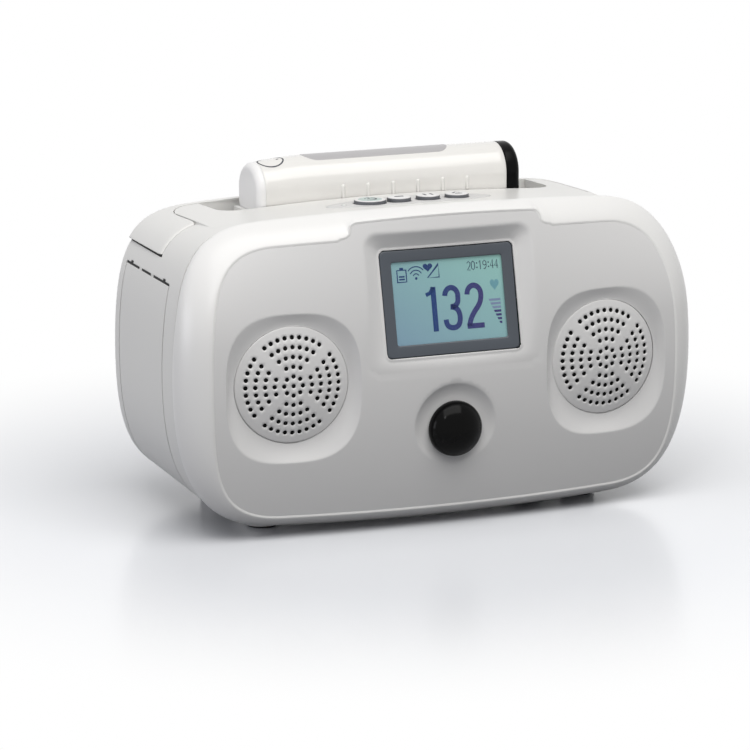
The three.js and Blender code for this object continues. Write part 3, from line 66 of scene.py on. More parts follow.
# Closed body through rings of as many points; a negative sum of triple products turns it the right way out
def solid(name, rings, ringed=False):
    rings = np.asarray(rings, float)
    rows, columns = rings.shape[:2]
    points = rings.reshape(-1, 3)
    quads = gridQuads(rows, columns, ringed)
    faces = quads.tolist()
    triangles = [quads[:, :3], quads[:, [0, 2, 3]]]
    if not ringed:
        last = (rows - 1) * columns
        faces += [list(range(columns))[::-1], list(range(last, last + columns))]
        fan = np.arange(1, columns - 1)[:, None] * [0, 1, 1] + [0, 0, 1]
        triangles += [fan[:, ::-1], fan + last]
    a, b, c = (points - points.mean(0))[np.concatenate(triangles).T]
    if (np.cross(a, b) * c).sum() < 0:
        faces = [face[::-1] for face in faces]
    return newObject(name, points, faces)


# A flat loop carried from low to high along an axis
def prism(name, loop, low, high, order=(0, 1, 2)):
    return solid(name, [np.insert(np.asarray(loop, float), 2, end, axis=1)[:, order] for end in (low, high)])


def block(name, low, high):
    loop = [(low[0], low[1]), (high[0], low[1]), (high[0], high[1]), (low[0], high[1])]
    return prism(name, loop, low[2], high[2])


def polar(radius, turn, centre=(0.0, 0.0)):
    return np.stack([centre[0] + radius * np.cos(turn), centre[1] + radius * np.sin(turn)], 1)


def circle(radius, count, centre=(0.0, 0.0)):
    return polar(radius, np.arange(count) / count * 2 * np.pi, centre)


# Turned body: a profile of (radius, height) carried round an axis
def lathe(name, profile, origin, axis, count=96):
    axis = np.asarray(axis, float) / np.linalg.norm(axis)
    side = np.cross(axis, [1.0, 0.0, 0.0])
    side /= np.linalg.norm(side)
    loop = circle(1.0, count)
    ring = loop[:, :1] * side + loop[:, 1:] * np.cross(axis, side)
    return solid(name, [np.asarray(origin) + max(radius, 0.004) * ring + height * axis
                        for radius, height in profile])


def rod(name, start, end, radius, count=40):
    along = np.subtract(end, start)
    return lathe(name, [(radius, 0.0), (radius, np.linalg.norm(along))], start, along, count)


def applyModifiers(thing):
    bpy.context.view_layer.update()
    old = thing.data
    made = bpy.data.meshes.new_from_object(thing.evaluated_get(bpy.context.evaluated_depsgraph_get()))
    thing.modifiers.clear()
    thing.data = made
    bpy.data.meshes.remove(old)
    return thing


def carve(thing, tools, how):
    for tool in tools:
        modifier = thing.modifiers.new("carve", "BOOLEAN")
        modifier.operation = how
        modifier.solver = "MANIFOLD"
        modifier.object = tool
    applyModifiers(thing)
    for tool in tools:
        data = tool.data
        bpy.data.objects.remove(tool)
        bpy.data.meshes.remove(data)
    return thing


def union(first, *others):
    return carve(first, others, "UNION")


def cutBy(first, *others):
    return carve(first, others, "DIFFERENCE")


def common(first, *others):
    return carve(first, others, "INTERSECT")


# Moves every point along one axis by what shift gives for its place in millimetres
def shiftPoints(thing, axis, shift):
    mesh = thing.data
    flat = np.empty(len(mesh.vertices) * 3)
    mesh.vertices.foreach_get("co", flat)
    places = flat.reshape(-1, 3)
    x, y, z = places.T * 1000
    places[:, axis] += shift(x, y + rearShift, z) / 1000
    mesh.vertices.foreach_set("co", places.ravel())
    mesh.update()
    return thing


corners = {"back": 14.0, "halfWidth": 134.7, "fromZ": 96.0, "height": 52.0, "rearY": 121.0, "rearPower": 6}


# Upper corners fall back: y grows with the squares of x and of the height, and stays at the rear face
def cornerShift(x, y, z):
    across = (x / corners["halfWidth"]) ** 2
    upright = (np.maximum(z - corners["fromZ"], 0) / corners["height"]) ** 2
    rearward = np.clip(y / corners["rearY"], 0, 1)
    return corners["back"] * across * upright * (1 - rearward ** corners["rearPower"])


def setCornersBack(thing):
    return shiftPoints(thing, 1, cornerShift)


def finishPiece(thing, body, material, nodes=(), angle=32, weighted=False):
    mesh = thing.data
    mesh.shade_smooth()
    mesh.set_sharp_from_angle(angle=math.radians(angle))
    if weighted:
        thing.modifiers.new("normals", "WEIGHTED_NORMAL").keep_sharp = True
    mesh.materials.clear()
    mesh.materials.append(material)
    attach(thing, body)
    if nodes:
        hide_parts(*nodes)
    return thing


def finishBody(thing, body, node):
    return finishPiece(thing, body, housingWhite, [node], angle=35, weighted=True)


# Flat mark, turned so that its normals add up to the way they should point
def flatMark(name, points, faces, axis, way):
    thing = newObject(name, points, faces)
    if sum(polygon.normal[axis] for polygon in thing.data.polygons) * way < 0:
        thing.data.flip_normals()
    return thing


# The greater of two, with a round of the given width where they meet
def smoothMax(a, b, width):
    share = np.clip(0.5 + 0.5 * (a - b) / width, 0, 1)
    return b + (a - b) * share + width * share * (1 - share)


# Curve by repeated straight shares between its control points
def bezier(*pulls, count):
    share = np.linspace(0, 1, count + 1)[:, None]
    pulls = [np.asarray(pull, float)[None, :] for pull in pulls]
    while len(pulls) > 1:
        pulls = [a + (b - a) * share for a, b in zip(pulls, pulls[1:])]
    return pulls[0]


def joinRuns(*runs):
    return np.concatenate([np.asarray(run, float) for run in runs])


# Outline in the X-Z plane: four corner curves joined by a top and a bottom arch
def outlineLoop(o, cornerSteps=26, archSteps=36):
    halves = []
    for part, way in (("top", 1), ("bottom", -1)):
        drop, pullX = o[part + "Drop"], o[part + "PullX"]
        endZ = o[part + "Z"] - way * drop
        pulledZ = endZ - way * pullX * (2 * drop / o["archX"])
        sideZ = o["wideZ"] + way * o[part + "PullZ"]
        right, left = [bezier(
            (side * o["halfWidth"], o["wideZ"]), (side * o["halfWidth"], sideZ),
            (side * (o["archX"] + pullX), pulledZ), (side * o["archX"], endZ), count=cornerSteps)
            for side in (1, -1)]
        arch = bezier((o["archX"], endZ), (0, 2 * o[part + "Z"] - endZ), (-o["archX"], endZ), count=archSteps)
        halves.append([right, arch, left[::-1]])
    runs = halves[0] + [run[::-1] for run in reversed(halves[1])]
    return np.concatenate([run[:-1] for run in runs])


# Loop moved inward, square to the line between each point's neighbours
def inset(loop, distance):
    run = np.roll(loop, -1, 0) - np.roll(loop, 1, 0)
    run /= np.linalg.norm(run, axis=1)[:, None]
    return loop + np.stack([-run[:, 1], run[:, 0]], 1) * distance


# Rectangle with a quarter circle at each corner
def roundedLoop(halfWidth, halfHeight, radius, centre=(0.0, 0.0), steps=8):
    turn = (np.arange(4)[:, None] + np.linspace(0, 1, steps + 1)[None, :]) * np.pi / 2
    x = centre[0] + np.array([1, -1, -1, 1])[:, None] * (halfWidth - radius) + radius * np.cos(turn)
    y = centre[1] + np.array([1, 1, -1, -1])[:, None] * (halfHeight - radius) + radius * np.sin(turn)
    return np.stack([x.ravel(), y.ravel()], 1)


# Loop in the X-Z plane, set at one depth or at a depth for each point
def atDepth(loop, y):
    return np.stack([loop[:, 0], np.broadcast_to(y, len(loop)), loop[:, 1]], 1)


# Loop with points added so that none lie further apart than the spacing
def denser(loop, spacing):
    after = np.roll(loop, -1, 0)
    lengths = np.linalg.norm(after - loop, axis=1)
    steps = np.maximum(1, np.ceil(lengths / spacing)).astype(int)
    return np.concatenate([start + (end - start) * (np.arange(count) / count)[:, None]
                           for start, end, count, long in zip(loop, after, steps, lengths) if long > 1e-9])


# Even-odd test of points against a loop
def inside(points, loop):
    x, z = points[:, :1], points[:, 1:]
    (ax, az), (bx, bz) = loop.T[:, None, :], np.roll(loop, -1, 0).T[:, None, :]
    crosses = ((az > z) != (bz > z)) & (x < (bx - ax) * (z - az) / np.where(bz == az, 1e-12, bz - az) + ax)
    return crosses.sum(1) % 2 == 1


# Distance from each point to the nearest of the others, a slice at a time to spare memory
def nearest(points, others, share=2000):
    return np.concatenate([np.sqrt(((points[at:at + share, None] - others[None]) ** 2).sum(2).min(1))
                           for at in range(0, len(points), share)])


# Delaunay triangles over loops and loose points, with the edges of the whole loops kept, all turned one way
def triangulate(loops, whole, loose):
    starts = np.cumsum([0] + [len(loop) for loop in loops])
    here = [np.arange(starts[at], starts[at + 1]) for at in whole]
    edges = np.concatenate([np.stack([run, np.roll(run, -1)], 1) for run in here])
    result = delaunay_2d_cdt(np.concatenate(loops + [loose]).tolist(), edges.tolist(), [], 1, 1e-5)
    flat, triangles = np.array([tuple(point) for point in result[0]]), np.array(result[2])
    a, b, c = flat[triangles.T]
    turned = (b[:, 0] - a[:, 0]) * (c[:, 1] - a[:, 1]) < (b[:, 1] - a[:, 1]) * (c[:, 0] - a[:, 0])
    triangles[turned] = triangles[turned][:, ::-1]
    return flat, triangles


def looseGrid(halfX, lowZ, highZ, spacing):
    x, z = np.meshgrid(np.arange(-halfX, halfX + 0.1, spacing), np.arange(lowZ, highZ, spacing))
    return np.stack([x.ravel(), z.ravel()], 1)


# Materials
def toLinear(hexText):
    values = [int(hexText[at:at + 2], 16) / 255 for at in (0, 2, 4)]
    return tuple(v / 12.92 if v <= 0.04045 else ((v + 0.055) / 1.055) ** 2.4 for v in values) + (1.0,)


# A value may be a number, a socket, or a node, which stands for its first output
def addNode(tree, kind, place, values=None, **settings):
    node = tree.nodes.new("ShaderNode" + kind)
    node.location = place
    for key, value in settings.items():
        setattr(node, key, value)
    for key, value in (values or {}).items():
        if isinstance(value, bpy.types.Node):
            value = value.outputs[0]
        if isinstance(value, bpy.types.NodeSocket):
            tree.links.new(value, node.inputs[key])
        else:
            node.inputs[key].default_value = value
    return node


def newMaterial(name):
    material = bpy.data.materials.new(name)
    material.use_nodes = True
    tree = material.node_tree
    tree.nodes.clear()
    return material, tree, addNode(tree, "TexCoord", (-1100, 0)).outputs["Object"]


def finishMaterial(material, surface):
    addNode(material.node_tree, "OutputMaterial", (900, 0), {"Surface": surface})
    return material


# Colour that drifts between two hex values over patches of a real size
def drifting(tree, place, colours, scale):
    first, second = colours.split()
    patches = addNode(tree, "TexNoise", (-800, 0), {"Vector": place, "Scale": scale, "Detail": 2.0})
    return addNode(tree, "Mix", (-400, 0), {
        "Factor": patches, 6: toLinear(first), 7: toLinear(second)}, data_type="RGBA").outputs[2]


# Roughness that varies from low to high with a noise of a real size
def speckled(tree, place, low, high, scale):
    grain = addNode(tree, "TexNoise", (-800, -300), {"Vector": place, "Scale": scale, "Detail": 3.0})
    return addNode(tree, "MapRange", (-400, -300), {
        "Value": grain, "From Min": 0.3, "From Max": 0.7, "To Min": low, "To Max": high})


# Moulded plastic: the mould's fine grain, given as scale and strength, and edges rounded by edge millimetres
def mouldedPlastic(name, colours, roughness, grain, edge, coat=0.0, gloss=0.5):
    material, tree, place = newMaterial(name)
    texture = addNode(tree, "TexNoise", (-400, -600), {
        "Vector": place, "Scale": grain[0], "Detail": 2.0, "Roughness": 0.6})
    rounded = addNode(tree, "Bevel", (-100, -600), {"Radius": edge / 1000}, samples=6)
    bump = addNode(tree, "Bump", (150, -500), {
        "Height": texture, "Strength": grain[1], "Distance": 0.00002, "Normal": rounded})
    return finishMaterial(material, addNode(tree, "BsdfPrincipled", (450, 0), {
        "Base Color": drifting(tree, place, colours, 9.0), "Roughness": speckled(tree, place, *roughness, 14.0),
        "Normal": bump, "IOR": 1.5, "Coat Weight": coat, "Coat Roughness": 0.05, "Specular IOR Level": gloss}))


def metal(name, colours, roughness):
    material, tree, place = newMaterial(name)
    return finishMaterial(material, addNode(tree, "BsdfPrincipled", (450, 0), {
        "Base Color": drifting(tree, place, colours, 60.0), "Metallic": 1.0,
        "Roughness": speckled(tree, place, *roughness, 400.0)}))


# Each line ends with what the finish gives the eye
housingWhite = mouldedPlastic("mouldedWhiteAbs", "E4E3E0 E1E0DD", (0.33, 0.34), (1500, 0.05), 0.6)  # soft satin
rimWhite = mouldedPlastic("mouldedWhiteAbsRim", "EFEEEC ECEBE9", (0.3, 0.31), (1500, 0.05), 0.5)  # whiter satin
faceWhite = mouldedPlastic("mouldedWarmGreyAbsFace", "E2E1E0 DEDDDC", (0.38, 0.4), (1600, 0.1), 0.5, gloss=0.35)  # matt
grilleWhite = mouldedPlastic("mouldedGreyAbsGrille", "E2E1E0 DEDDDC", (0.38, 0.42), (1600, 0.1), 0.2)  # matt
paintedGapShade = mouldedPlastic("paintedGapShadeBlack", "0E0E0F 141415", (0.8, 0.9), (800, 0.3), 0.1)  # painted shade: flat black standing in for the shade in gaps and behind holes
knobBlack = mouldedPlastic("pianoBlackKnob", "060606 090909", (0.13, 0.16), (1400, 0.01), 0.3, 0.0, 0.08)  # mirror
bezelSlate = mouldedPlastic("slateMouldedBezel", "4A5058 464C54", (0.32, 0.4), (1800, 0.1), 0.3)  # satin slate
capBlack = mouldedPlastic("glossBlackProbeCap", "070708 0A0A0B", (0.14, 0.18), (1400, 0.02), 0.4, 0.0, 0.08)  # gloss
probeWhite = mouldedPlastic("glossWarmWhiteProbe", "EAE8E4 E7E5E1", (0.15, 0.17), (1500, 0.02), 0.4, 0.2)  # lacquer
padGrey = mouldedPlastic("paleGreyPad", "D3D2D1 CFCECD", (0.4, 0.48), (1500, 0.08), 0.3)  # soft matt
keyWhite = mouldedPlastic("whiteKeyCap", "ECEBEA E6E5E4", (0.3, 0.36), (1500, 0.04), 0.3)  # satin
keyGreen = mouldedPlastic("paleGreenPowerKey", "BACAC6 B4C5C1", (0.28, 0.34), (1500, 0.04), 0.3)  # satin
keySide = mouldedPlastic("greyKeySkirt", "56585C 525458", (0.4, 0.5), (1500, 0.05), 0.2)  # dull
printDark = mouldedPlastic("darkPadPrint", "3A3D44 42454C", (0.5, 0.6), (1500, 0.02), 0.05)  # flat ink
faceRubber = mouldedPlastic("acousticFaceSilicone", "F2F1F0 EEEDEC", (0.35, 0.4), (1400, 0.05), 0.5)  # milky
labelFilm = mouldedPlastic("greyLabelFilm", "B4B2B3 AFADAE", (0.3, 0.33), (1600, 0.04), 0.2)  # even satin
rubberBlack = mouldedPlastic("blackRubberFoot", "1C1C1D 242425", (0.7, 0.85), (700, 0.4), 0.3)  # coarse and dull
lightLens = mouldedPlastic("milkyLightPipe", "D8DAD6 CDD0CC", (0.2, 0.26), (900, 0.02), 0.1)  # smooth
conePaper = mouldedPlastic("pressedConePaper", "3A3A3A 303030", (0.8, 0.9), (600, 0.6), 0.1)  # fibrous
boardGreen = mouldedPlastic("greenBoardLaminate", "1F4A33 254F38", (0.4, 0.5), (500, 0.1), 0.1)  # varnished
batteryFilm = mouldedPlastic("blueBatteryShrinkFilm", "2E4D7A 27436B", (0.3, 0.4), (400, 0.1), 0.2)  # taut, shiny
steel = metal("stampedSteel", "9A9C9E B0B2B4", (0.3, 0.42))  # dull shine
brass = metal("goldFlashedBrass", "D2B163 C4A255", (0.22, 0.32))  # warm shine


# Clear acrylic lens: see-through, with the reflection of its outward surface alone
def lensMaterial():
    material, tree, place = newMaterial("clearAcrylicLens")
    weight = addNode(tree, "LayerWeight", (-400, 200), {"Blend": 0.12})
    backward = addNode(tree, "NewGeometry", (-600, 400)).outputs["Backfacing"]
    outward = addNode(tree, "Math", (-400, 400), {0: 1.0, 1: backward}, operation="SUBTRACT")
    clear = addNode(tree, "BsdfTransparent", (200, 100), {"Color": toLinear("F6FAFA")})
    shine = addNode(tree, "BsdfGlossy", (200, -100), {"Roughness": speckled(tree, place, 0.03, 0.05, 500.0)})
    share = addNode(tree, "Math", (-100, 300), {0: weight, 1: outward}, operation="MULTIPLY")
    return finishMaterial(material, addNode(tree, "MixShader", (500, 0), {"Fac": share, 1: clear, 2: shine}))


# Display panel: colour runs from bluer at the lower left to greener at the upper right, and it gives some light
def panelMaterial():
    material, tree, place = newMaterial("backlitDisplayPanel")
    parts = addNode(tree, "SeparateXYZ", (-900, 0), {"Vector": place})
    shares = [addNode(tree, "MapRange", (-650, row), {
        "Value": parts.outputs[axis], "From Min": low, "From Max": high})
        for axis, low, high, row in (("X", -0.029, 0.029, 100), ("Z", 0.09, 0.13, -150))]
    both = addNode(tree, "Math", (-400, 0), {0: shares[0], 1: shares[1]}, operation="ADD")
    ramp = addNode(tree, "ValToRGB", (-200, 0), {
        "Fac": addNode(tree, "Math", (-300, 0), {0: both, 1: 0.5}, operation="MULTIPLY")})
    for stop, colour in zip(ramp.color_ramp.elements, ("7D92A4", "92B6AF")):
        stop.color = toLinear(colour)
    return finishMaterial(material, addNode(tree, "BsdfPrincipled", (450, 0), {
        "Base Color": ramp, "Roughness": 0.5, "Emission Color": ramp, "Emission Strength": 0.36}))


# Display ink: it shades from one colour to another across the big digits
def inkMaterial(name, left, right):
    material, tree, place = newMaterial(name)
    parts = addNode(tree, "SeparateXYZ", (-900, 0), {"Vector": place})
    across = addNode(tree, "MapRange", (-650, 100), {"Value": parts, "From Min": -0.01, "From Max": 0.02})
    colour = addNode(tree, "Mix", (-300, 0), {
        "Factor": across, 6: toLinear(left), 7: toLinear(right)}, data_type="RGBA").outputs[2]
    return finishMaterial(material, addNode(tree, "BsdfPrincipled", (450, 0), {
        "Base Color": colour, "Roughness": speckled(tree, place, 0.45, 0.55, 900.0), "Emission Color": colour,
        "Emission Strength": 0.12}))


inkNavy = inkMaterial("displayInkNavy", "1D3A72", "41366F")
inkIcon = inkMaterial("displayInkIcon", "20376C", "3A4456")
inkPale = inkMaterial("displayInkPale", "7FA6AE", "77A2AE")
inkLilac = inkMaterial("displayInkLilac", "8A93B4", "8A90B0")

speakerSteel = "left_speaker_frame left_speaker_magnet right_speaker_frame right_speaker_magnet"
carried = (
    (steel, speakerSteel + " volume_encoder door_hinge_pin data_socket"),
    (steel, "case_screw_1 case_screw_2 case_screw_3 case_screw_4"),
    (conePaper, "left_speaker_cone right_speaker_cone"),
    (lensMaterial(), "display_lens"), (panelMaterial(), "lcd_module"),
    (boardGreen, "key_board main_board probe_board"), (batteryFilm, "battery_pack probe_battery"),
    (brass, "front_battery_contact rear_battery_contact left_charge_pin right_charge_pin probe_crystal"),
    (rubberBlack, "rubber_foot_1 rubber_foot_2 rubber_foot_3 rubber_foot_4"),
    (knobBlack, "power_socket headphone_socket"),
)
for material, nodeNames in carried:
    for nodeName in nodeNames.split():
        carriedMesh = bpy.data.objects[nodeName].data
        carriedMesh.materials.clear()
        carriedMesh.materials.append(material)
print("materials made")

# Front face with pods, display recess and knob dish
cover = {"halfWidth": 134.7, "topZ": 153.8, "bottomZ": 2.0, "wideZ": 77.0, "archX": 88.0, "topDrop": 3.2,
         "topPullX": 27.0, "topPullZ": 60.0, "bottomDrop": 2.4, "bottomPullX": 32.0, "bottomPullZ": 48.5}
faceEdge = {"halfWidth": 121.6, "topZ": 143.2, "bottomZ": 9.5, "wideZ": 79.0, "archX": 86.0, "topDrop": 2.0,
            "topPullX": 25.5, "topPullZ": 46.0, "bottomDrop": 1.2, "bottomPullX": 33.5, "bottomPullZ": 44.5}
bow = {"front": -8.0, "across": 10.0, "upright": 10.0, "halfWidth": 134.7, "halfHeight": 75.0, "middleZ": 70.0,
       "step": 1.0}
pod = {"x": 81.5, "z": 75.7, "turn": math.radians(4.4), "halfWidth": 33.3, "halfHeight": 35.7, "squareness": 2.9,
       "rise": -1.6, "seat": 28.26, "edgeDepth": 1.3, "wallPower": 1.84, "radius": 28.2, "dome": 3.9, "wall": 1.6,
       "blend": 0.3, "seatDepth": 2.2, "seatShrink": 0.93}
display = {"z": 110.1, "y": 0.7, "tilt": math.radians(12.8), "viewWidth": 57.4, "viewHeight": 39.6, "width": 69.1,
           "height": 51.0, "corner": 2.5, "clearance": 0.3, "picture": 1.42}
recess = {"halfWidth": 43.6, "top": 144.2, "bottom": 79.6, "corner": 7.0, "lip": 0.55, "lipWidth": 1.3,
          "wallPower": 1.15, "blend": 0.7}
knob = {"z": 48.7, "dish": 21.3, "floor": 14.6, "depth": 2.0, "radius": 13.5, "height": 9.6, "skirt": 1.6,
        "blend": 0.35, "shaft": 4.1}
bump = {"half": 56.0, "topHalf": 50.0, "shoulder": 143.0, "top": 151.6, "crown": 1.4, "corner": 5.0, "round": 0.3}
podTurns = np.arange(200) / 200 * 2 * np.pi
recessMiddle = (recess["top"] + recess["bottom"]) / 2
recessShape = (recess["halfWidth"], recess["top"] - recessMiddle, recess["corner"], recessMiddle)
bezelShape = (display["width"] / 2 + display["clearance"],
              math.cos(display["tilt"]) * (display["height"] / 2 + display["clearance"]), display["corner"],
              display["z"])


# Depth of the bowed front: foremost in its middle, falling back with the square of each distance
def bowedY(x, z):
    across = bow["across"] * (x / bow["halfWidth"]) ** 2
    return bow["front"] + across + bow["upright"] * ((z - bow["middleZ"]) / bow["halfHeight"]) ** 2


def faceY(x, z):
    return bowedY(x, z) + bow["step"]


# Distance from a round-cornered rectangle, negative inside it
def roundedDistance(x, z, shape):
    halfWidth, halfHeight, corner, centreZ = shape
    dx = np.abs(x) - (halfWidth - corner)
    dz = np.abs(z - centreZ) - (halfHeight - corner)
    outside = np.hypot(np.maximum(dx, 0), np.maximum(dz, 0))
    return outside + np.minimum(np.maximum(dx, dz), 0) - corner


# Reach of the pod's outline from its centre at an angle: a superellipse whose centre is a little low
def podReach(turn):
    reach = np.full_like(turn, pod["halfWidth"])
    power = pod["squareness"]
    for _ in range(12):
        u = np.abs(reach * np.cos(turn)) / pod["halfWidth"]
        v = np.abs(reach * np.sin(turn) - pod["rise"]) / pod["halfHeight"]
        reach = reach / (u ** power + v ** power) ** (1 / power)
    return reach


# How far a point is between a loudspeaker's seat and its pod's outline, and its place from the pod's centre
def podShare(x, z, side):
    u = (x - side * pod["x"]) / math.cos(pod["turn"])
    v = z - pod["z"]
    radius = np.hypot(u, v)
    return (radius - pod["seat"]) / (podReach(np.arctan2(v, u)) - pod["seat"]), radius, u


# Depth of a pod: a power of the share from the seat to the face, on a plane that leans outward
def podDepth(x, z, side):
    share, radius, u = podShare(x, z, side)
    lean = side * u * math.sin(pod["turn"])
    flat = faceY(x, z) - lean
    wall = pod["edgeDepth"] + (flat - pod["edgeDepth"]) * np.maximum(share, 0) ** pod["wallPower"]
    return np.where(share < 1.5, wall + lean, -50.0)


# Recess of the display: a wall from its outline down to the tilted bezel, with a thin lip there
def recessDepth(x, z):
    floor = display["y"] + (z - display["z"]) * math.tan(display["tilt"])
    inner, outer = roundedDistance(x, z, bezelShape), roundedDistance(x, z, recessShape)
    share = np.maximum(inner, 0) / np.maximum(np.maximum(inner, 0) - outer, 0.01)
    lip = recess["lip"] * np.clip(1 - inner / recess["lipWidth"], 0, 1) ** 0.7 * (inner > 0)
    wall = floor + (faceY(x, z) - floor) * np.minimum(share, 3.0) ** recess["wallPower"] - lip
    return np.where(outer < 3.0, wall, -50.0)


# Dish round the knob: deepest on its flat floor, rising with the square of the way to its edge
def knobDepth(x, z):
    share = np.clip((np.hypot(x, z - knob["z"]) - knob["floor"]) / (knob["dish"] - knob["floor"]), 0, 2)
    return faceY(0.0, knob["z"]) + knob["depth"] * (1 - share ** 2)


def frontDepth(x, z):
    depth = faceY(x, z)
    for side in (-1, 1):
        depth = smoothMax(depth, podDepth(x, z, side), pod["blend"])
    depth = smoothMax(depth, recessDepth(x, z), recess["blend"])
    near = np.hypot(x, z - knob["z"]) < 30
    return np.where(near, smoothMax(depth, knobDepth(x, z), knob["blend"]), depth)


# Outline of the raised step of the face over the display, from its right foot to its left one
def bumpPath():
    foot = faceEdge["topZ"] - faceEdge["topDrop"] * (bump["half"] / faceEdge["archX"]) ** 2
    half, topHalf, corner, shoulder = bump["half"], bump["topHalf"], bump["corner"], bump["shoulder"]
    end = bump["top"] - bump["crown"]
    right = np.concatenate([run[:-1] for run in (
        bezier((half, foot), (half, shoulder), count=3),
        bezier((half, shoulder), (topHalf + 0.5, shoulder + 0.3), (topHalf, end - corner), count=14),
        bezier((topHalf, end - corner), (topHalf, end), (topHalf - corner, end), count=12))])
    crown = bezier((topHalf - corner, end), (0, bump["top"] + bump["crown"]), (corner - topHalf, end), count=60)
    return np.concatenate([right, crown, right[::-1] * [-1, 1]])


def faceBoundary():
    loop = outlineLoop(faceEdge, 60, 90)
    under = (np.abs(loop[:, 0]) < bump["half"] + 0.4) & (loop[:, 1] > faceEdge["wideZ"])
    first, last = int(np.argmax(under)), len(loop) - int(np.argmax(under[::-1]))
    return np.concatenate([loop[:first], bumpPath(), loop[last:]])


# Ring about a pod's centre, narrowed by the pod's turn
def podLoop(radius, side):
    return polar(radius, podTurns) * [math.cos(pod["turn"]), 1] + [side * pod["x"], pod["z"]]


# Short walls that go back from the two loudspeaker seats
def seatWalls():
    walls = []
    for side in (-1, 1):
        centre = [side * pod["x"], pod["z"]]
        loop = podLoop(pod["seat"], side)
        y = frontDepth(*loop.T)
        rows = [atDepth(loop, y), atDepth(loop, y + pod["seatDepth"]),
                atDepth(centre + (loop - centre) * pod["seatShrink"], y + pod["seatDepth"])]
        walls.append((np.concatenate(rows), gridQuads(3, len(loop))[:, ::-1]))
    return walls


# Front face: y is frontDepth over rings that follow each form, with a grid between and walls round its openings
def frontFace():
    boundary = faceBoundary()
    limit = inset(boundary, 0.06)
    rings = [inset(boundary, distance) for distance in (0.12, 0.35, 0.7, 1.1, 1.6)]
    shares = np.concatenate([[0.0, 0.03], np.linspace(0.1, 0.9, 12), np.linspace(0.93, 1.09, 9), [1.16]])
    beyond = podReach(podTurns) - pod["seat"]
    podRings = [podLoop(pod["seat"] + share * beyond, side) for side in (-1, 1) for share in shares]
    bezelLoop, recessLoop = [denser(roundedLoop(*shape[:3], (0.0, shape[3]), 10), 1.6)
                             for shape in (bezelShape, recessShape)]
    bezelRings = [bezelLoop] + [inset(bezelLoop, -d) for d in (0.12, 0.3, 0.6, 0.95, 1.3, 1.7, 2.3, 3.0, 3.8)]
    recessRings = [inset(recessLoop, d) for d in (
        3.2, 2.4, 1.7, 1.2, 0.8, 0.5, 0.25, 0.0, -0.25, -0.5, -0.9, -1.5)]
    knobRings = [circle(radius, 160, (0.0, knob["z"])) for radius in (
        4.2, 8, 12, 13.6, 14.6, 15.5, 16.4, 17.3, 18.2, 19.1, 19.9, 20.5, 20.9, 21.2, 21.5, 21.9, 22.5)]
    grid = looseGrid(126, 4, 156, 2.0)
    x, z = grid.T
    inner, outer = roundedDistance(x, z, bezelShape), roundedDistance(x, z, recessShape)
    free = inside(grid, inset(boundary, 2.4)) & inside(grid, limit) & (np.hypot(x, z - knob["z"]) > 23.4)
    free &= (outer > 2.2) | ((inner > 4.6) & (outer < -3.8))
    for side in (-1, 1):
        free &= podShare(x, z, side)[0] > 1.25
    pods = 1 + len(rings)
    bezels = pods + len(podRings)
    knobs = bezels + len(bezelRings) + len(recessRings)
    loops = rings + podRings + bezelRings + recessRings + knobRings
    loops = [boundary] + [loop[inside(loop, limit)] for loop in loops]
    flat, triangles = triangulate(loops, [0, pods, pods + len(shares), bezels, knobs], grid[free])
    x, z = flat[triangles].mean(1).T
    isOpen = (roundedDistance(x, z, bezelShape) < -0.02) | (np.hypot(x, z - knob["z"]) < knob["shaft"])
    for side in (-1, 1):
        isOpen |= podShare(x, z, side)[1] < pod["seat"] - 0.02
    fall = np.clip(bump["round"] - nearest(flat, denser(boundary, 0.25)), 0, bump["round"])
    depth = frontDepth(*flat.T) + bump["round"] - np.sqrt(np.maximum(bump["round"] ** 2 - fall ** 2, 0))
    wallY = faceY(*boundary.T) + bump["round"]
    rows = [atDepth(boundary, np.minimum(wallY + back, 20.0)) for back in (0.0, 1.5, 6.0, 14.0)]
    points, faces = atDepth(flat, depth), triangles[~isOpen].tolist()
    for wall, quads in [(np.concatenate(rows), gridQuads(4, len(boundary)))] + seatWalls():
        faces += (quads + len(points)).tolist()
        points = np.concatenate([points, wall])
    thing = newObject("frontFace", points, faces)
    thing.modifiers.new("weld", "WELD").merge_threshold = 0.00001
    return applyModifiers(thing)


# Rim: a section of lip, quarter round and inner return, carried along the two outlines
rim = {"roundY": 18.0, "seamY": 22.0, "seamInset": 1.3, "wall": 2.6, "lipRun": 1.1, "lip": 0.3, "bevel": 0.15}


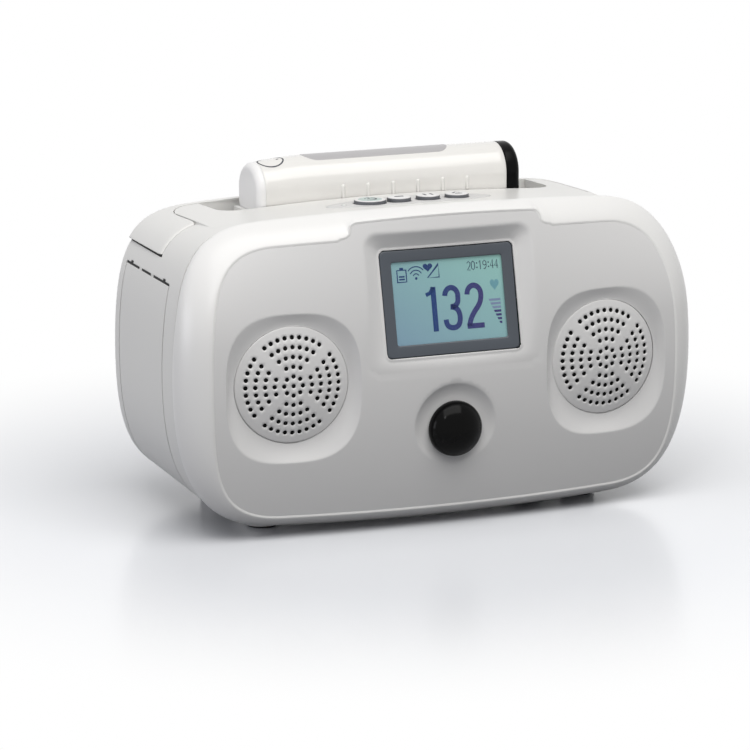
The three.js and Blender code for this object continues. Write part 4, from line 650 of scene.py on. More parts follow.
def rimPiece():
    outer, inner = outlineLoop(cover, 50, 110), outlineLoop(faceEdge, 50, 110)
    under = (np.abs(inner[:, 0]) < bump["half"]) & (inner[:, 1] > faceEdge["wideZ"])
    path = bumpPath()
    along = np.concatenate([[0.0], np.cumsum(np.linalg.norm(np.diff(path, axis=0), axis=1))])
    shares = np.linspace(0, along[-1], int(under.sum()))
    inner[under] = np.stack([np.interp(shares, along, path[:, 0]), np.interp(shares, along, path[:, 1])], 1)

    def faceRing(distance, back):
        loop = inset(inner, distance)
        return atDepth(loop, faceY(*loop.T) + back)

    rings = [faceRing(rim["lipRun"] + 0.4, 1.0)]
    for share in np.linspace(0, 1, 10):
        rings.append(faceRing(rim["lipRun"] * (1 - share), -rim["lip"] * (1 - math.cos(math.pi * share)) / 2))
    for turn in np.radians(np.linspace(86, 0, 24)):
        loop = inner * (1 - math.cos(turn)) + outer * math.cos(turn)
        front = faceY(*loop.T) - rim["lip"]
        fall = rim["bevel"] * math.cos(turn) + (1 - rim["bevel"]) * (1 - math.sin(turn))
        rings.append(atDepth(loop, front + (rim["roundY"] - front) * fall))
    for share in (0.35, 0.7, 0.93):
        rings.append(atDepth(inset(outer, rim["seamInset"] * share ** 1.6), rim["roundY"] + share * 4.0))
    for away, y in ((rim["seamInset"] + 0.25, rim["seamY"]), (rim["seamInset"] + rim["wall"], rim["seamY"]),
                    (rim["wall"], rim["roundY"])):
        rings.append(atDepth(inset(outer, away), y))
    for turn in np.radians([30, 55, 75]):
        loop = inset(inner * (1 - math.cos(turn)) + outer * math.cos(turn), rim["wall"] * math.cos(turn))
        front = bowedY(*loop.T) + rim["wall"]
        rings.append(atDepth(loop, rim["roundY"] - (rim["roundY"] - front) * math.sin(turn)))
    return solid("frontRim", rings, ringed=True)


finishPiece(setCornersBack(frontFace()), unit, faceWhite, ["front_cover"], angle=50)
finishPiece(setCornersBack(rimPiece()), unit, rimWhite, ["front_cover"], angle=40)
print("front made")

# Grille: a domed disc with rings of round holes, each with a small chamfer
grille = {"rings": 5, "pitch": 4.6, "perRing": 8, "hole": 1.02, "chamfer": 0.4, "sides": 16, "round": 0.55,
          "shadeDisc": 26.2, "shadeDiscDepth": 3.05}


# Hole centres on rings, each with a multiple of eight places, where the spokes between sectors stay blank
def grilleCentres():
    centres = [(0.0, 0.0)]
    for ring in range(1, grille["rings"] + 1):
        places = np.arange(grille["perRing"] * ring)
        places = places[(places - ring) % (2 * ring) > 0] if ring > 1 else places
        centres += polar(ring * grille["pitch"], places / (grille["perRing"] * ring) * 2 * np.pi).tolist()
    return np.array(centres)


# Its depth is a sphere's cap, with a round at the disc's edge and a slope into every hole
def grilleMesh():
    centres = grilleCentres()
    edge, mouth = pod["radius"], grille["hole"] + grille["chamfer"]
    discs = [circle(edge - step, 150) for step in (0.0, 0.1, 0.3, 0.55, 1.2)]
    holes = [circle(radius, grille["sides"], centre)
             for radius in (grille["hole"], mouth) for centre in centres]
    grid = looseGrid(28, -28, 28.1, 1.15)
    grid = grid[(nearest(grid, centres) > mouth + 0.35) & (np.hypot(*grid.T) < edge - 2)]
    flat, triangles = triangulate(discs[:1] + holes + discs[1:], range(1 + len(holes)), grid)
    triangles = triangles[nearest(flat[triangles].mean(1), centres) > grille["hole"] * 0.97]
    radius = np.hypot(*flat.T)
    sphere = (edge ** 2 + pod["dome"] ** 2) / (2 * pod["dome"])
    depth = pod["edgeDepth"] - pod["dome"] + sphere - np.sqrt(sphere ** 2 - radius ** 2)
    fall = np.clip(radius - (edge - grille["round"]), 0, grille["round"])
    depth += grille["round"] - np.sqrt(np.maximum(grille["round"] ** 2 - fall ** 2, 0))
    depth += np.clip(mouth - nearest(flat, centres), 0, grille["chamfer"]) * 0.9
    return flat, depth, triangles


# A pod's own plane, turned outward about its upright axis
def placedInPod(u, depth, v, side):
    turn = side * pod["turn"]
    return np.stack([side * pod["x"] + u * math.cos(turn) - depth * math.sin(turn),
                     u * math.sin(turn) + depth * math.cos(turn), pod["z"] + v], 1)


grilleFlat, grilleDepth, grilleFaces = grilleMesh()
for side, prefix in ((-1, "left"), (1, "right")):
    disc = newObject(prefix + "Grille", placedInPod(grilleFlat[:, 0], grilleDepth, grilleFlat[:, 1], side),
                     grilleFaces.tolist())
    thick = disc.modifiers.new("thickness", "SOLIDIFY")
    thick.thickness = pod["wall"] / 1000
    thick.offset = -1
    finishPiece(setCornersBack(disc), unit, grilleWhite, [prefix + "_speaker_grille"], angle=50)
    # Painted shade: a flat black disc just behind the grille stands in for the shade inside its holes
    ring = circle(grille["shadeDisc"], 64)
    shadeDiscPoints = placedInPod(ring[:, 0], np.full(len(ring), grille["shadeDiscDepth"]), ring[:, 1], side)
    finishPiece(newObject(prefix + "GrilleShadeDisc", shadeDiscPoints, [range(len(ring))]), unit, paintedGapShade, [])
print("grilles made")


# Display plane, tilted about its middle: u runs across, v up, and depth into the cover
def displayPoint(u, v, depth):
    turn = -display["tilt"]
    y = depth * math.cos(turn) - v * math.sin(turn)
    z = depth * math.sin(turn) + v * math.cos(turn)
    return np.stack([u + 0 * y, display["y"] + y, display["z"] + z], -1)


# Bezel: a section given as distance from the view's edge and depth, carried round the view
def bezelPiece():
    band = (display["width"] - display["viewWidth"]) / 2
    rings = []
    for away, depth in ((band, 3.0), (band, 0.7), (band - 0.12, 0.3), (band - 0.35, 0.08), (band - 0.7, 0.0),
                        (0.7, 0.12), (0.3, 0.2), (0.08, 0.42), (0.0, 0.65), (1.9, 0.68), (1.9, 3.0)):
        loop = roundedLoop(display["viewWidth"] / 2 + away, display["viewHeight"] / 2 + away, 1.1 + away * 0.19)
        rings.append(displayPoint(loop[:, 0], loop[:, 1], depth))
    return solid("displayBezel", rings, ringed=True)


finishPiece(bezelPiece(), unit, bezelSlate, ["display_bezel"], angle=50)


# Flat strokes: each is a path with a width, drawn out half the width to both sides, and mitred where it closes
def strokeFaces(paths):
    points, faces = [], []
    for path, width, *closed in paths:
        path = np.asarray(path, float)
        run = np.roll(path, -1, 0) - np.roll(path, 1, 0) if closed else np.gradient(path, axis=0)
        run /= np.maximum(np.linalg.norm(run, axis=1), 1e-9)[:, None]
        normal = np.stack([-run[:, 1], run[:, 0]], 1)
        if closed:
            before = path - np.roll(path, 1, 0)
            before /= np.maximum(np.linalg.norm(before, axis=1), 1e-9)[:, None]
            normal /= np.maximum((normal * np.stack([-before[:, 1], before[:, 0]], 1)).sum(1), 0.35)[:, None]
        start, count = sum(len(part) for part in points), len(path)
        points.append(np.concatenate([path + normal * width / 2, path - normal * width / 2]))
        here = np.arange(count if closed else count - 1)
        after = (here + 1) % count
        faces += (np.stack([here, after, after + count, here + count], 1) + start).tolist()
    return points, faces


# Marks on the panel, in millimetres from the view's upper left corner: strokes and filled loops
def panelPiece(name, material, strokes=(), fills=()):
    points, faces = strokeFaces(strokes)
    for loop in fills:
        start = sum(len(part) for part in points)
        points.append(np.asarray(loop, float))
        faces.append(range(start, start + len(loop)))
    points = np.concatenate(points)
    place = displayPoint(points[:, 0] - display["viewWidth"] / 2, display["viewHeight"] / 2 - points[:, 1],
                         display["picture"])
    return finishPiece(flatMark(name, place, faces, 1, -1), unit, material, [])


def arc(centre, radius, start, end, count=20, stretch=1.0):
    return polar(radius, np.radians(np.linspace(start, end, count))) * [1, stretch] + centre


# A heart from two round lobes and a point, as a loop of the usual sine and cosine sums
def heart(centre, width, height, count=40):
    turn = np.linspace(0, 2 * np.pi, count, endpoint=False)
    x = 16 * np.sin(turn) ** 3
    y = -(13 * np.cos(turn) - 5 * np.cos(2 * turn) - 2 * np.cos(3 * turn) - np.cos(4 * turn))
    return np.stack([centre[0] + x / 32 * width, centre[1] + (y - 2.5) / 29 * height], 1)


# Big digits of the heart rate: 1, the two bowls of 3, and 2 with its base
def bigDigits():
    three = joinRuns(arc((30.1, 18.0), 3.4, 185, 350, 24, 1.2),
                     bezier((33.4, 19.8), (33.2, 22.9), (29.6, 23.1), count=10))
    threeLow = joinRuns(bezier((29.2, 23.1), (33.8, 23.2), (33.8, 28.4), count=12),
                        bezier((33.8, 28.4), (33.7, 33.0), (30.0, 33.1), count=10)[1:],
                        bezier((30.0, 33.1), (26.4, 33.0), (26.4, 28.9), count=10)[1:])
    two = joinRuns(arc((41.9, 18.0), 3.6, 182, 360, 26, 1.2),
                   bezier((45.5, 18.0), (45.6, 21.4), (43.1, 24.4), count=12)[1:],
                   bezier((43.1, 24.4), (38.9, 29.0), (38.4, 33.0), count=12)[1:])
    panelPiece("displayDigits", inkNavy, [
        ([(17.0, 16.6), (19.2, 15.7), (21.0, 13.2)], 1.9), ([(20.9, 12.9), (20.9, 34.2)], 2.7),
        (three, 2.6), (threeLow, 2.6), (two, 2.6), ([(37.2, 33.0), (46.2, 33.0)], 2.5)])


# Small digits as paths of shares of their width and height
digitShapes = {
    "0": [(0.5, 0), (1, 0.2), (1, 0.8), (0.5, 1), (0, 0.8), (0, 0.2), (0.5, 0)],
    "1": [(0.1, 0.2), (0.5, 0), (0.5, 1)],
    "2": [(0, 0.2), (0.5, 0), (1, 0.22), (0.9, 0.5), (0, 1), (1, 1)],
    "4": [(0.75, 1), (0.75, 0), (0, 0.7), (1, 0.7)],
    "9": [(0.1, 0.95), (0.5, 1), (1, 0.7), (1, 0.2), (0.5, 0), (0, 0.2), (0, 0.45), (0.5, 0.58), (1, 0.45)],
}


# Battery, wireless arcs, heart, level wedge and clock along the top, and a faint heart at the right
def panelIcons():
    strokes = [([(3.1, 3.8), (7.8, 3.8), (7.8, 9.5), (3.1, 9.5)], 0.5, True)]
    strokes += [([(4.0, height), (6.9, height)], 0.75) for height in (6.9, 8.2)]
    strokes += [(arc((12.8, 7.6), radius, start, 540 - start, count), 0.5)
                for radius, start, count in ((1.6, 205, 12), (3.3, 210, 16), (5.0, 218, 18))]
    strokes.append(([(18.7, 8.4), (24.7, 8.4), (24.7, 2.2)], 0.5, True))
    fills = [[(4.5, 2.6), (6.4, 2.6), (6.4, 3.6), (4.5, 3.6)], circle(0.65, 14, (12.8, 8.2)),
             heart((19.1, 3.6), 5.0, 4.1)]
    left = 39.6
    for mark in "20:19:44":
        if mark == ":":
            fills += [circle(0.38, 10, (left + 0.55, 3.2)), circle(0.38, 10, (left + 0.55, 5.3))]
            left += 1.5
        else:
            strokes.append((np.array(digitShapes[mark]) * [1.65, 4.2] + [left, 2.1], 0.42))
            left += 2.28
    panelPiece("displayIcons", inkIcon, strokes, fills)
    panelPiece("displayFaintHeart", inkPale, [], [heart((53.0, 14.3), 4.6, 5.4)])


# Signal bars that grow shorter downward
def panelBars():
    bars = []
    for index in range(7):
        height, left = 21.3 + 1.83 * index, 49.3 + (54.0 - 49.3) * index / 6
        low, high = height - 0.55, height + 0.55
        bars.append([(left, low), (55.5, low), (55.5, high), (left + 0.4, high)])
    panelPiece("displayBarsLow", inkNavy, [], bars[3:])
    panelPiece("displayBarsHigh", inkLilac, [], bars[:3])


bigDigits()
panelIcons()
panelBars()
print("display made")


# Volume knob: a bored skirt, and a quarter of an ellipse turned to a dome
def knobPiece():
    base = float(faceY(0.0, knob["z"])) + knob["depth"] - 0.45
    turns = np.radians(np.linspace(0, 90, 26))
    dome = polar(1.0, turns) * [knob["radius"], knob["height"] - knob["skirt"]] + [0.0, knob["skirt"]]
    profile = joinRuns([(0.0, 6.0), (3.3, 6.0), (3.3, 0.0), (13.1, 0.0), (13.42, 0.12), (13.5, 0.4)], dome)
    thing = lathe("volumeKnob", profile, (0.0, base, knob["z"]), (0, -1, 0), 120)
    return finishPiece(thing, "knob", knobBlack, ["volume_knob"], angle=40)


knobPiece()

# Rear housing, handle and door, cut from the same drawn-in body
housing = {"frontY": 22.3, "rearY": 121.0, "round": 12.0, "taper": math.tan(math.radians(1.8)),
           "slope": math.tan(math.radians(5.7)), "rise": math.tan(math.radians(3.4)), "wall": 2.8,
           "deckHalf": 104.0, "deckFront": 29.0, "deckStep": 0.9, "deckCorner": 8.0, "deckRear": 71.6,
           "deckSlope": math.tan(math.radians(1.6)), "runningGap": 0.45, "outsideX": 136.0, "aboveZ": 157.0}
handle = {"front": 60.0, "inner": 105.0, "bar": 92.0, "barY": 104.5, "end": 130.0, "proud": 1.6, "depth": 2.6,
          "slope": math.tan(math.radians(2.2)), "sideProud": 1.2, "easeRun": 3.4, "easeLow": 0.12,
          "barThickness": 8.0, "legX": 108.0, "legY": 101.0, "legHalf": 2.5, "legFoot": 4.7, "legLow": 68.7}
door = {"front": 38.0, "rear": 104.0, "bottom": 17.5, "top": 119.6, "thickness": 2.3, "gap": 0.8, "hingeX": 115.6,
        "hingeZ": 20.0, "knuckle": 2.4, "knuckleLength": 9.0, "knuckles": (46.8, 86.2), "pin": 1.5, "ledge": 0.3}
well = {"front": 71.6, "floor": 140.6, "rearFloor": 127.0, "half": 88.0, "corner": 13.0, "endsY": 148.0,
        "saddleX": (-72.7, 70.3), "saddleWidth": 2.4}
feet = {"places": ((-84, 34), (84, 34), (-84, 94), (84, 94)), "pad": 8.5, "seat": 7.3}
backHoles = {"screwX": (-96, 96), "screwZ": (30, 108), "screw": 3.5, "sockets": ((58, 5.9), (36, 4.3)),
             "socketZ": 58, "pinX": (-20, 20), "pinY": 86.7, "pin": 1.9}
bay = {"low": (-134.7, 40.8, 28.8), "high": (-93.8, 92.2, 108.2), "innerLow": (-134.7, 43, 31),
       "innerHigh": (-96, 90, 106)}
# Black strips of painted shade just under the gaps at the handle's ends, and over the door in three runs with a thumb
# notch near each end
gapShades = {"depth": 0.1, "thickness": 1.2, "runs": ((38.6, 62.0), (66.0, 80.0), (84.0, 103.4)),
         "notches": (46.0, 96.0)}


# The cover's outline, drawn in at the sides, lower at the top and higher at the foot as it runs back
def housingOutline(y, lift=0.0, wider=0.0):
    run = y - rim["seamY"]
    return outlineLoop(dict(
        cover, halfWidth=cover["halfWidth"] - rim["seamInset"] - run * housing["taper"] + wider,
        topZ=cover["topZ"] - rim["seamInset"] - run * housing["slope"] + lift,
        bottomZ=cover["bottomZ"] + rim["seamInset"] + run * housing["rise"]), 24, 32)


# Rise of the handle over the body, and how much wider it is: both ease in over the first few millimetres
def handleRise(y):
    share = min(1.0, max(0.0, (y - handle["front"]) / handle["easeRun"]))
    soft = handle["easeLow"] + (1 - handle["easeLow"]) * math.sqrt(share * (2 - share))
    lean = housing["slope"] - handle["slope"]
    return (handle["proud"] + lean * (y - handle["front"])) * soft, handle["sideProud"] * soft


# Rise of the deck over the sloping body: it starts a step lower behind the rim and runs back almost level
def deckRise(y):
    run = min(y, housing["deckRear"]) - housing["deckFront"]
    behind = max(0.0, y - housing["deckRear"])
    lean = housing["slope"] - housing["deckSlope"]
    return -housing["deckStep"] + lean * run + (housing["slope"] - handle["slope"]) * behind, 0.0


# Body through inset outlines, with a quarter round from its sides to its rear face
def housingBody(inward=0.0, rise=None, frontY=20.0, stops=(62.0,)):
    def ring(y, away):
        return atDepth(inset(housingOutline(y, *(rise(y) if rise else ())), away), y)

    radius = housing["round"] - inward
    rings = [ring(y, inward) for y in [frontY, 42.0, *stops, 84.0]]
    for turn in np.radians(np.linspace(0, 90, 13)):
        y = housing["rearY"] - housing["round"] + radius * math.sin(turn)
        rings.append(ring(y, inward + radius * (1 - math.cos(turn))))
    return solid("housingBody", rings)


# The body between two depths under its surface
def housingShell(outer, inner):
    return cutBy(housingBody(outer), housingBody(inner))


# Plan of the handle: two ends joined along the rear by a bar, with round inner corners
def handlePlan(grow):
    wide, back = cover["halfWidth"] + 1.0, housing["rearY"] + 1.0
    inner, bar = handle["inner"] - grow, handle["bar"] - grow
    front, barY = handle["front"] - grow, handle["barY"] - grow
    left = bezier((-inner, (handle["front"] + handle["barY"]) / 2), (-inner, barY), (-bar, barY), count=14)
    return joinRuns([(-wide, front), (-inner, front)], left, left[::-1] * [-1, 1],
                    [(inner, front), (wide, front), (wide, back), (-wide, back)])


def deckZ(y):
    return cover["topZ"] - rim["seamInset"] - (y - rim["seamY"]) * housing["slope"]


# Handle: a shell of the body over its plan, with two footed legs that slide in the housing
def carryHandle():
    eased = handle["front"] + handle["easeRun"] * np.linspace(0, 1, 8)
    grip = cutBy(housingBody(rise=handleRise, stops=eased), housingBody(handle["depth"]))
    grip = common(grip, prism("plan", handlePlan(0), handle["end"], 156.0))
    barUnder = deckZ(housing["rearY"]) + handleRise(housing["rearY"])[0] - handle["barThickness"]
    grip = setCornersBack(cutBy(grip, block("under", (-handle["bar"] - 1, handle["barY"] - 1, 129.0),
                                            (handle["bar"] + 1, 122.0, barUnder))))
    low, top = handle["legLow"], deckZ(handle["legY"]) - handle["depth"] - 0.6
    legs = []
    for x in (-handle["legX"], handle["legX"]):
        for half, high in ((handle["legHalf"], top), (handle["legFoot"], low + 5)):
            legs.append(block("leg", (x - half, handle["legY"] - 5, low), (x + half, handle["legY"] + 5, high)))
    grip = union(grip, common(union(*legs), housingBody(handle["depth"] / 2)))
    return finishBody(grip, "handle", "carry_handle")


# Cradle's well: a profile with a rounded front, cut to a plan with round corners
def recessTool(grow):
    front, floor, rearFloor = well["front"] - grow, well["floor"] - grow, well["rearFloor"] - grow
    profile = joinRuns([(front, 156.0)], bezier((front, floor + 6), (front, floor), (front + 6, floor), count=10),
                       [(98.0, floor), (110.0 - grow, rearFloor), (123.0, rearFloor), (123.0, 156.0)])
    half = (well["endsY"] - front) / 2
    plan = roundedLoop(well["half"] + grow, half, well["corner"] + grow, (0.0, front + half), 16)
    return common(prism("well", profile, -well["half"] - grow, well["half"] + grow, (2, 0, 1)),
                  prism("plan", plan, 125.0 - grow, housing["aboveZ"]))


def hingePoint(y, out=0.0, up=0.0):
    return np.array([-door["hingeX"] - out, y, door["hingeZ"] + (y - door["front"]) * housing["rise"] + up])


# Space of the door, whose foot rises to the rear as the body's does
def doorRegion(shrink):
    rings = []
    for y in (door["front"] + shrink, door["rear"] - shrink):
        low = door["bottom"] + (y - door["front"]) * housing["rise"] + shrink
        high, outside = door["top"] - shrink, -housing["outsideX"]
        rings.append([(outside, y, low), (-94.7, y, low), (-94.7, y, high), (outside, y, high)])
    return solid("doorRegion", rings)


def knuckleArm(y, grow):
    high, out = door["knuckle"] * 2 + grow, door["knuckle"] * 3
    return solid("arm", [[hingePoint(depth, out, -grow), hingePoint(depth, -grow, -grow),
                          hingePoint(depth, -grow, high), hingePoint(depth, out, high)]
                         for depth in (y - grow, y + door["knuckleLength"] + grow)])


# Door: the body's skin over its region, with two knuckles on the hinge line
def sideDoor():
    panel = common(housingShell(0.0, door["thickness"]), doorRegion(door["gap"] / 2))
    for y in door["knuckles"]:
        panel = union(panel, common(knuckleArm(y, 0.0), housingBody(door["thickness"] / 2)))
        knuckle = rod("knuckle", hingePoint(y), hingePoint(y + door["knuckleLength"]), door["knuckle"], 32)
        panel = union(panel, knuckle)
    panel = cutBy(panel, rod("bore", hingePoint(36.0), hingePoint(106.0), door["pin"], 32))
    return finishBody(setCornersBack(panel), "door", "side_door")


keys = {"padY": 51.0, "padHalf": (43.0, 11.5), "arch": 3.2, "gap": 0.45, "lightX": -34.0, "lightHole": 1.4,
        "places": {"power_key": (-20.3, 7.8), "left_key": (-5.1, 5.9), "middle_key": (10.2, 5.9),
                   "right_key": (25.5, 5.9)}}
deckTurn = -math.atan(housing["deckSlope"])
deckOrigin = np.array([0.0, keys["padY"], deckZ(keys["padY"]) + deckRise(keys["padY"])[0]])


# Frame of the deck: v runs to the rear along it, height is square to it, and it falls with the square of x
def deckPoint(x, v, height):
    y = v * math.cos(deckTurn) - height * math.sin(deckTurn)
    z = v * math.sin(deckTurn) + height * math.cos(deckTurn)
    fall = keys["arch"] * (np.asarray(x) / cover["archX"]) ** 2
    return np.stack([x + 0 * y, y, z - fall], -1) + deckOrigin


def deckPrism(loop, low, high):
    return solid("deckPrism", [deckPoint(*loop.T, np.full(len(loop), height)) for height in (low, high)])


def keyHoles(low, sides):
    holes = [circle(radius + keys["gap"], sides, (x, 0.0)) for x, radius in keys["places"].values()]
    holes.append(circle(keys["lightHole"], 24, (keys["lightX"], 0.0)))
    return [deckPrism(loop, low, 3.0) for loop in holes]


# Housing: a shell of the body with the handle's backing, well, foot pads, door ledge, battery bay and deck
# added, and then the seats, slots and holes cut
def rearHousing():
    out, above, front = housing["outsideX"], housing["aboveZ"], housing["frontY"]
    shell = cutBy(housingBody(frontY=front), housingBody(housing["wall"]))
    seatFloor, ledge = handle["depth"] + housing["runningGap"], door["thickness"] + door["ledge"]
    deckPlan = roundedLoop(housing["deckHalf"], 92.0, housing["deckCorner"], (0.0, housing["rearY"]), 12)
    deckStops = (62.0, housing["deckRear"])
    shell = union(
        shell, common(housingShell(seatFloor, seatFloor + 2.4), prism("plan", handlePlan(2.85), 127.15, 153.8)),
        common(recessTool(2.4), housingBody(frontY=front)),
        *[rod("footPad", (x, y, 1.2), (x, y, 18.7), feet["pad"], 48) for x, y in feet["places"]],
        common(housingShell(ledge, door["thickness"] + 2.5), doorRegion(-2.2)),
        common(block("bay", bay["low"], bay["high"]), housingBody(ledge)),
        common(prism("deck", deckPlan, 140.0, above), housingBody(0, deckRise, front, deckStops)))
    cuts = [
        cutBy(prism("deck", deckPlan, 130.0, above), housingBody(0, deckRise, 20.0, deckStops)),
        cutBy(prism("seat", handlePlan(housing["runningGap"]), 129.55, 155.0), housingBody(seatFloor)),
        cutBy(doorRegion(-door["gap"] / 2), housingBody(ledge))]
    cuts += [cutBy(block("notch", (-out, y - 2.0, 119.9), (-100.0, y + 2.0, 121.3)), housingBody(1.8))
             for y in gapShades["notches"]]
    # Slots that open onto the black strips of painted shade
    slots = [((-out, start - 0.2, 119.5), (-100.0, end + 0.2, 120.35)) for start, end in gapShades["runs"]]
    slots += [((left, 59.0, 128.68), (left + 31.5, 122.0, 129.6)) for left in (-out, out - 31.5)]
    cuts += [cutBy(block("slot", *ends), housingBody(1.5)) for ends in slots]
    shell = cutBy(setCornersBack(cutBy(shell, *cuts)), recessTool(0.0))
    shell = union(shell, *[block("saddle", (x, 71.3, 140.3), (x + well["saddleWidth"], 98.0, 144.6))
                           for x in well["saddleX"]])
    holes = [rod("footSeat", (x, y, 0.2), (x, y, 2.7), feet["seat"], 48) for x, y in feet["places"]]
    holes += [rod("screwSeat", (x, 122, z), (x, 119.1, z), backHoles["screw"], 40)
              for x in backHoles["screwX"] for z in backHoles["screwZ"]]
    legX, legY = handle["legX"], handle["legY"]
    holes += [block("legHole", (x - 2.95, legY - 5.45, handle["legLow"]), (x + 2.95, legY + 5.45, 150.0))
              for x in (-legX, legX)]
    holes += [block("bayHollow", bay["innerLow"], bay["innerHigh"]),
              rod("hingeClear", hingePoint(door["front"]), hingePoint(door["rear"]), 4.4, 40)]
    holes += [knuckleArm(y, 0.6) for y in door["knuckles"]]
    holes.append(rod("pinBore", hingePoint(36.6), hingePoint(105.4), door["pin"], 32))
    holes += [deckPrism(circle(1.0, 120) * [43.3, 11.8], -1.4, 3.0)] + keyHoles(-8.0, 64)
    holes += [rod("socketHole", (x, 110, backHoles["socketZ"]), (x, 122, backHoles["socketZ"]), radius, 48)
              for x, radius in backHoles["sockets"]]
    holes.append(block("portHole", (5.2, 109, 54.5), (18.8, 122, 61.5)))
    holes += [rod("pinHole", (x, backHoles["pinY"], 137), (x, backHoles["pinY"], 142), backHoles["pin"], 32)
              for x in backHoles["pinX"]]
    return finishBody(cutBy(shell, *holes), unit, "rear_housing")


# Thin layer just under the body's surface, cut to a box
def skinPiece(name, material, low, high, depth=gapShades["depth"]):
    layer = housingShell(depth, depth + gapShades["thickness"])
    piece = setCornersBack(common(layer, block("region", low, high)))
    piece.name = name
    return finishPiece(piece, unit, material, [])


# Painted shade: black strips under the door's and the handle's gaps, with white tabs between the door's runs
def gapShadePieces():
    out, runs = -housing["outsideX"], gapShades["runs"]
    for index, (start, end) in enumerate(runs):
        skinPiece(f"doorGapShade{index + 1}", paintedGapShade, (out, start, 119.24), (-100.0, end, 120.3))
    for index in (0, 1):
        start, end = runs[index][1], runs[index + 1][0]
        skinPiece(f"doorTab{index + 1}", housingWhite, (out, start + 0.1, 119.24), (-100.0, end - 0.1, 120.1),
                  0.05)
    for index, y in enumerate(gapShades["notches"]):
        skinPiece(f"notchGapShade{index + 1}", paintedGapShade, (out, y - 1.9, 120.3), (-100.0, y + 1.9, 121.2))
    skinPiece("leftHandleGapShade", paintedGapShade, (out, 60.3, 128.7), (-105.0, 119.0, 129.97))
    skinPiece("rightHandleGapShade", paintedGapShade, (105.0, 60.3, 128.7), (-out, 119.0, 129.97))


rearHousing()
gapShadePieces()
carryHandle()
sideDoor()
print("housing made")


# Key pad: an ellipse with a small round at its edge, lying on the deck
def keyPad():
    rings = []
    for away, height in ((0.0, -1.1), (0.0, 0.0), (0.08, 0.14), (0.3, 0.22)):
        loop = circle(1.0, 120) * [keys["padHalf"][0] - away, keys["padHalf"][1] - away]
        rings.append(deckPoint(*loop.T, np.full(len(loop), height)))
    pad = cutBy(solid("keyPad", rings), *keyHoles(-3.0, 72))
    return finishPiece(pad, unit, padGrey, ["key_pad"], angle=40)


# Key: a skirt that ends in a rounded edge, with a lighter ring and cap let into its top
def keyPiece(node, x, radius, capMaterial):
    name = node.split("_")[0] + "Key"
    low, edge, cap = -4.5, radius - 0.3, radius - (1.9 if node == "power_key" else 1.3)
    skirt = [(0.0, low), (radius + 0.5, low), (radius + 0.5, low + 1.2), (radius, low + 1.2), (radius, 1.25),
             (radius - 0.08, 1.42), (radius - 0.25, 1.54), (radius - 0.5, 1.58), (0.0, 1.58)]
    ring = [(0.0, 1.4), (edge, 1.4), (edge, 1.8), (edge - 0.12, 1.92), (edge - 0.4, 1.98), (cap, 1.86),
            (0.0, 1.86)]
    top = [(0.0, 1.7), (cap, 1.7), (cap, 1.88), (cap - 0.2, 1.97), (cap * 0.5, 2.0), (0.0, 2.0)]
    for part, profile, material, nodes in (("", skirt, keySide, [node]), ("Ring", ring, keyWhite, []),
                                           ("Cap", top, capMaterial, [])):
        thing = lathe(name + part, profile, deckPoint(x, 0.0, 0.0), deckUp, 80)
        finishPiece(thing, node, material, nodes, angle=40)


deckUp = deckPoint(0.0, 0.0, 1.0) - deckPoint(0.0, 0.0, 0.0)
keyMarks = {
    "power_key": [(arc((0.0, -0.3), 2.9, 120, 420, 40), 0.9), ([(0.0, 0.4), (0.0, 3.6)], 0.9)],
    "left_key": [([(-2.3, 0.0), (2.3, 0.0)], 1.9)],
    "middle_key": [([(-1.8, -2.1), (-1.8, 2.1)], 1.2), ([(1.8, -2.1), (1.8, 2.1)], 1.2)],
    "right_key": [([(-2.4, -0.6), (0.0, 2.2), (2.4, -0.6)], 1.1),
                  ([(-1.9, -2.4), (1.9, -2.4)], 1.2)],
}
keyPad()
for node, (x, radius) in keys["places"].items():
    keyPiece(node, x, radius, keyGreen if node == "power_key" else keyWhite)
for node, strokes in keyMarks.items():
    points, faces = strokeFaces(strokes)
    points = np.concatenate(points)
    place = deckPoint(keys["places"][node][0] + points[:, 0], points[:, 1], np.full(len(points), 2.04))
    finishPiece(flatMark(node.split("_")[0] + "Mark", place, faces, 2, 1), node, printDark, [])
statusLight = lathe("statusLight", [(0.0, -2.3), (1.1, -2.3), (1.1, 0.45), (0.9, 0.62), (0.0, 0.7)],
                    deckPoint(keys["lightX"], 0.0, 0.0), deckUp, 32)
finishPiece(statusLight, unit, lightLens, ["status_light"], angle=60)
print("keys made")

# Probe: an arch-shaped section carried along X, drawn in at its ends
probe = {"half": 70.0, "halfWidth": 14.0, "y": 86.7, "bottom": 141.2, "top": 169.4, "split": 148.0,
         "endRound": 3.4, "floorRound": 6.0, "faceLength": 4.0, "capLength": 7.6, "tipFall": 2.4,
         "fallFrom": -42.2, "edge": 0.15, "splitGap": 0.03}
ribs = {"count": 6, "first": -25.3, "pitch": 13.22, "half": 1.1, "proud": 0.8, "low": 149.4, "high": 155.0}
label = {"x": -3.4, "half": (38.5, 7.0), "lift": 0.2, "ring": (6.4, 5.6), "ringPlace": (-58.9, -2.2)}


# Section: half an ellipse on two walls, with quarter circles down to a flat floor
def probeSection(shrink, count=56):
    half = probe["halfWidth"] - shrink
    floor = probe["bottom"] + shrink
    radius = probe["floorRound"] - shrink / 2
    spring = probe["top"] - probe["halfWidth"]
    turn = np.linspace(0, np.pi, count + 1)
    top = polar(1.0, turn) * [half, probe["top"] - shrink - spring] + [0.0, spring]
    left = arc((-half + radius, floor + radius), radius, 180, 270, 10)
    right = arc((half - radius, floor + radius), radius, 270, 360, 10)
    wall = np.stack([np.full(5, -half), np.linspace(spring, floor + radius, 7)[1:-1]], 1)
    return joinRuns(top, wall, left, right, wall[::-1] * [-1, 1])


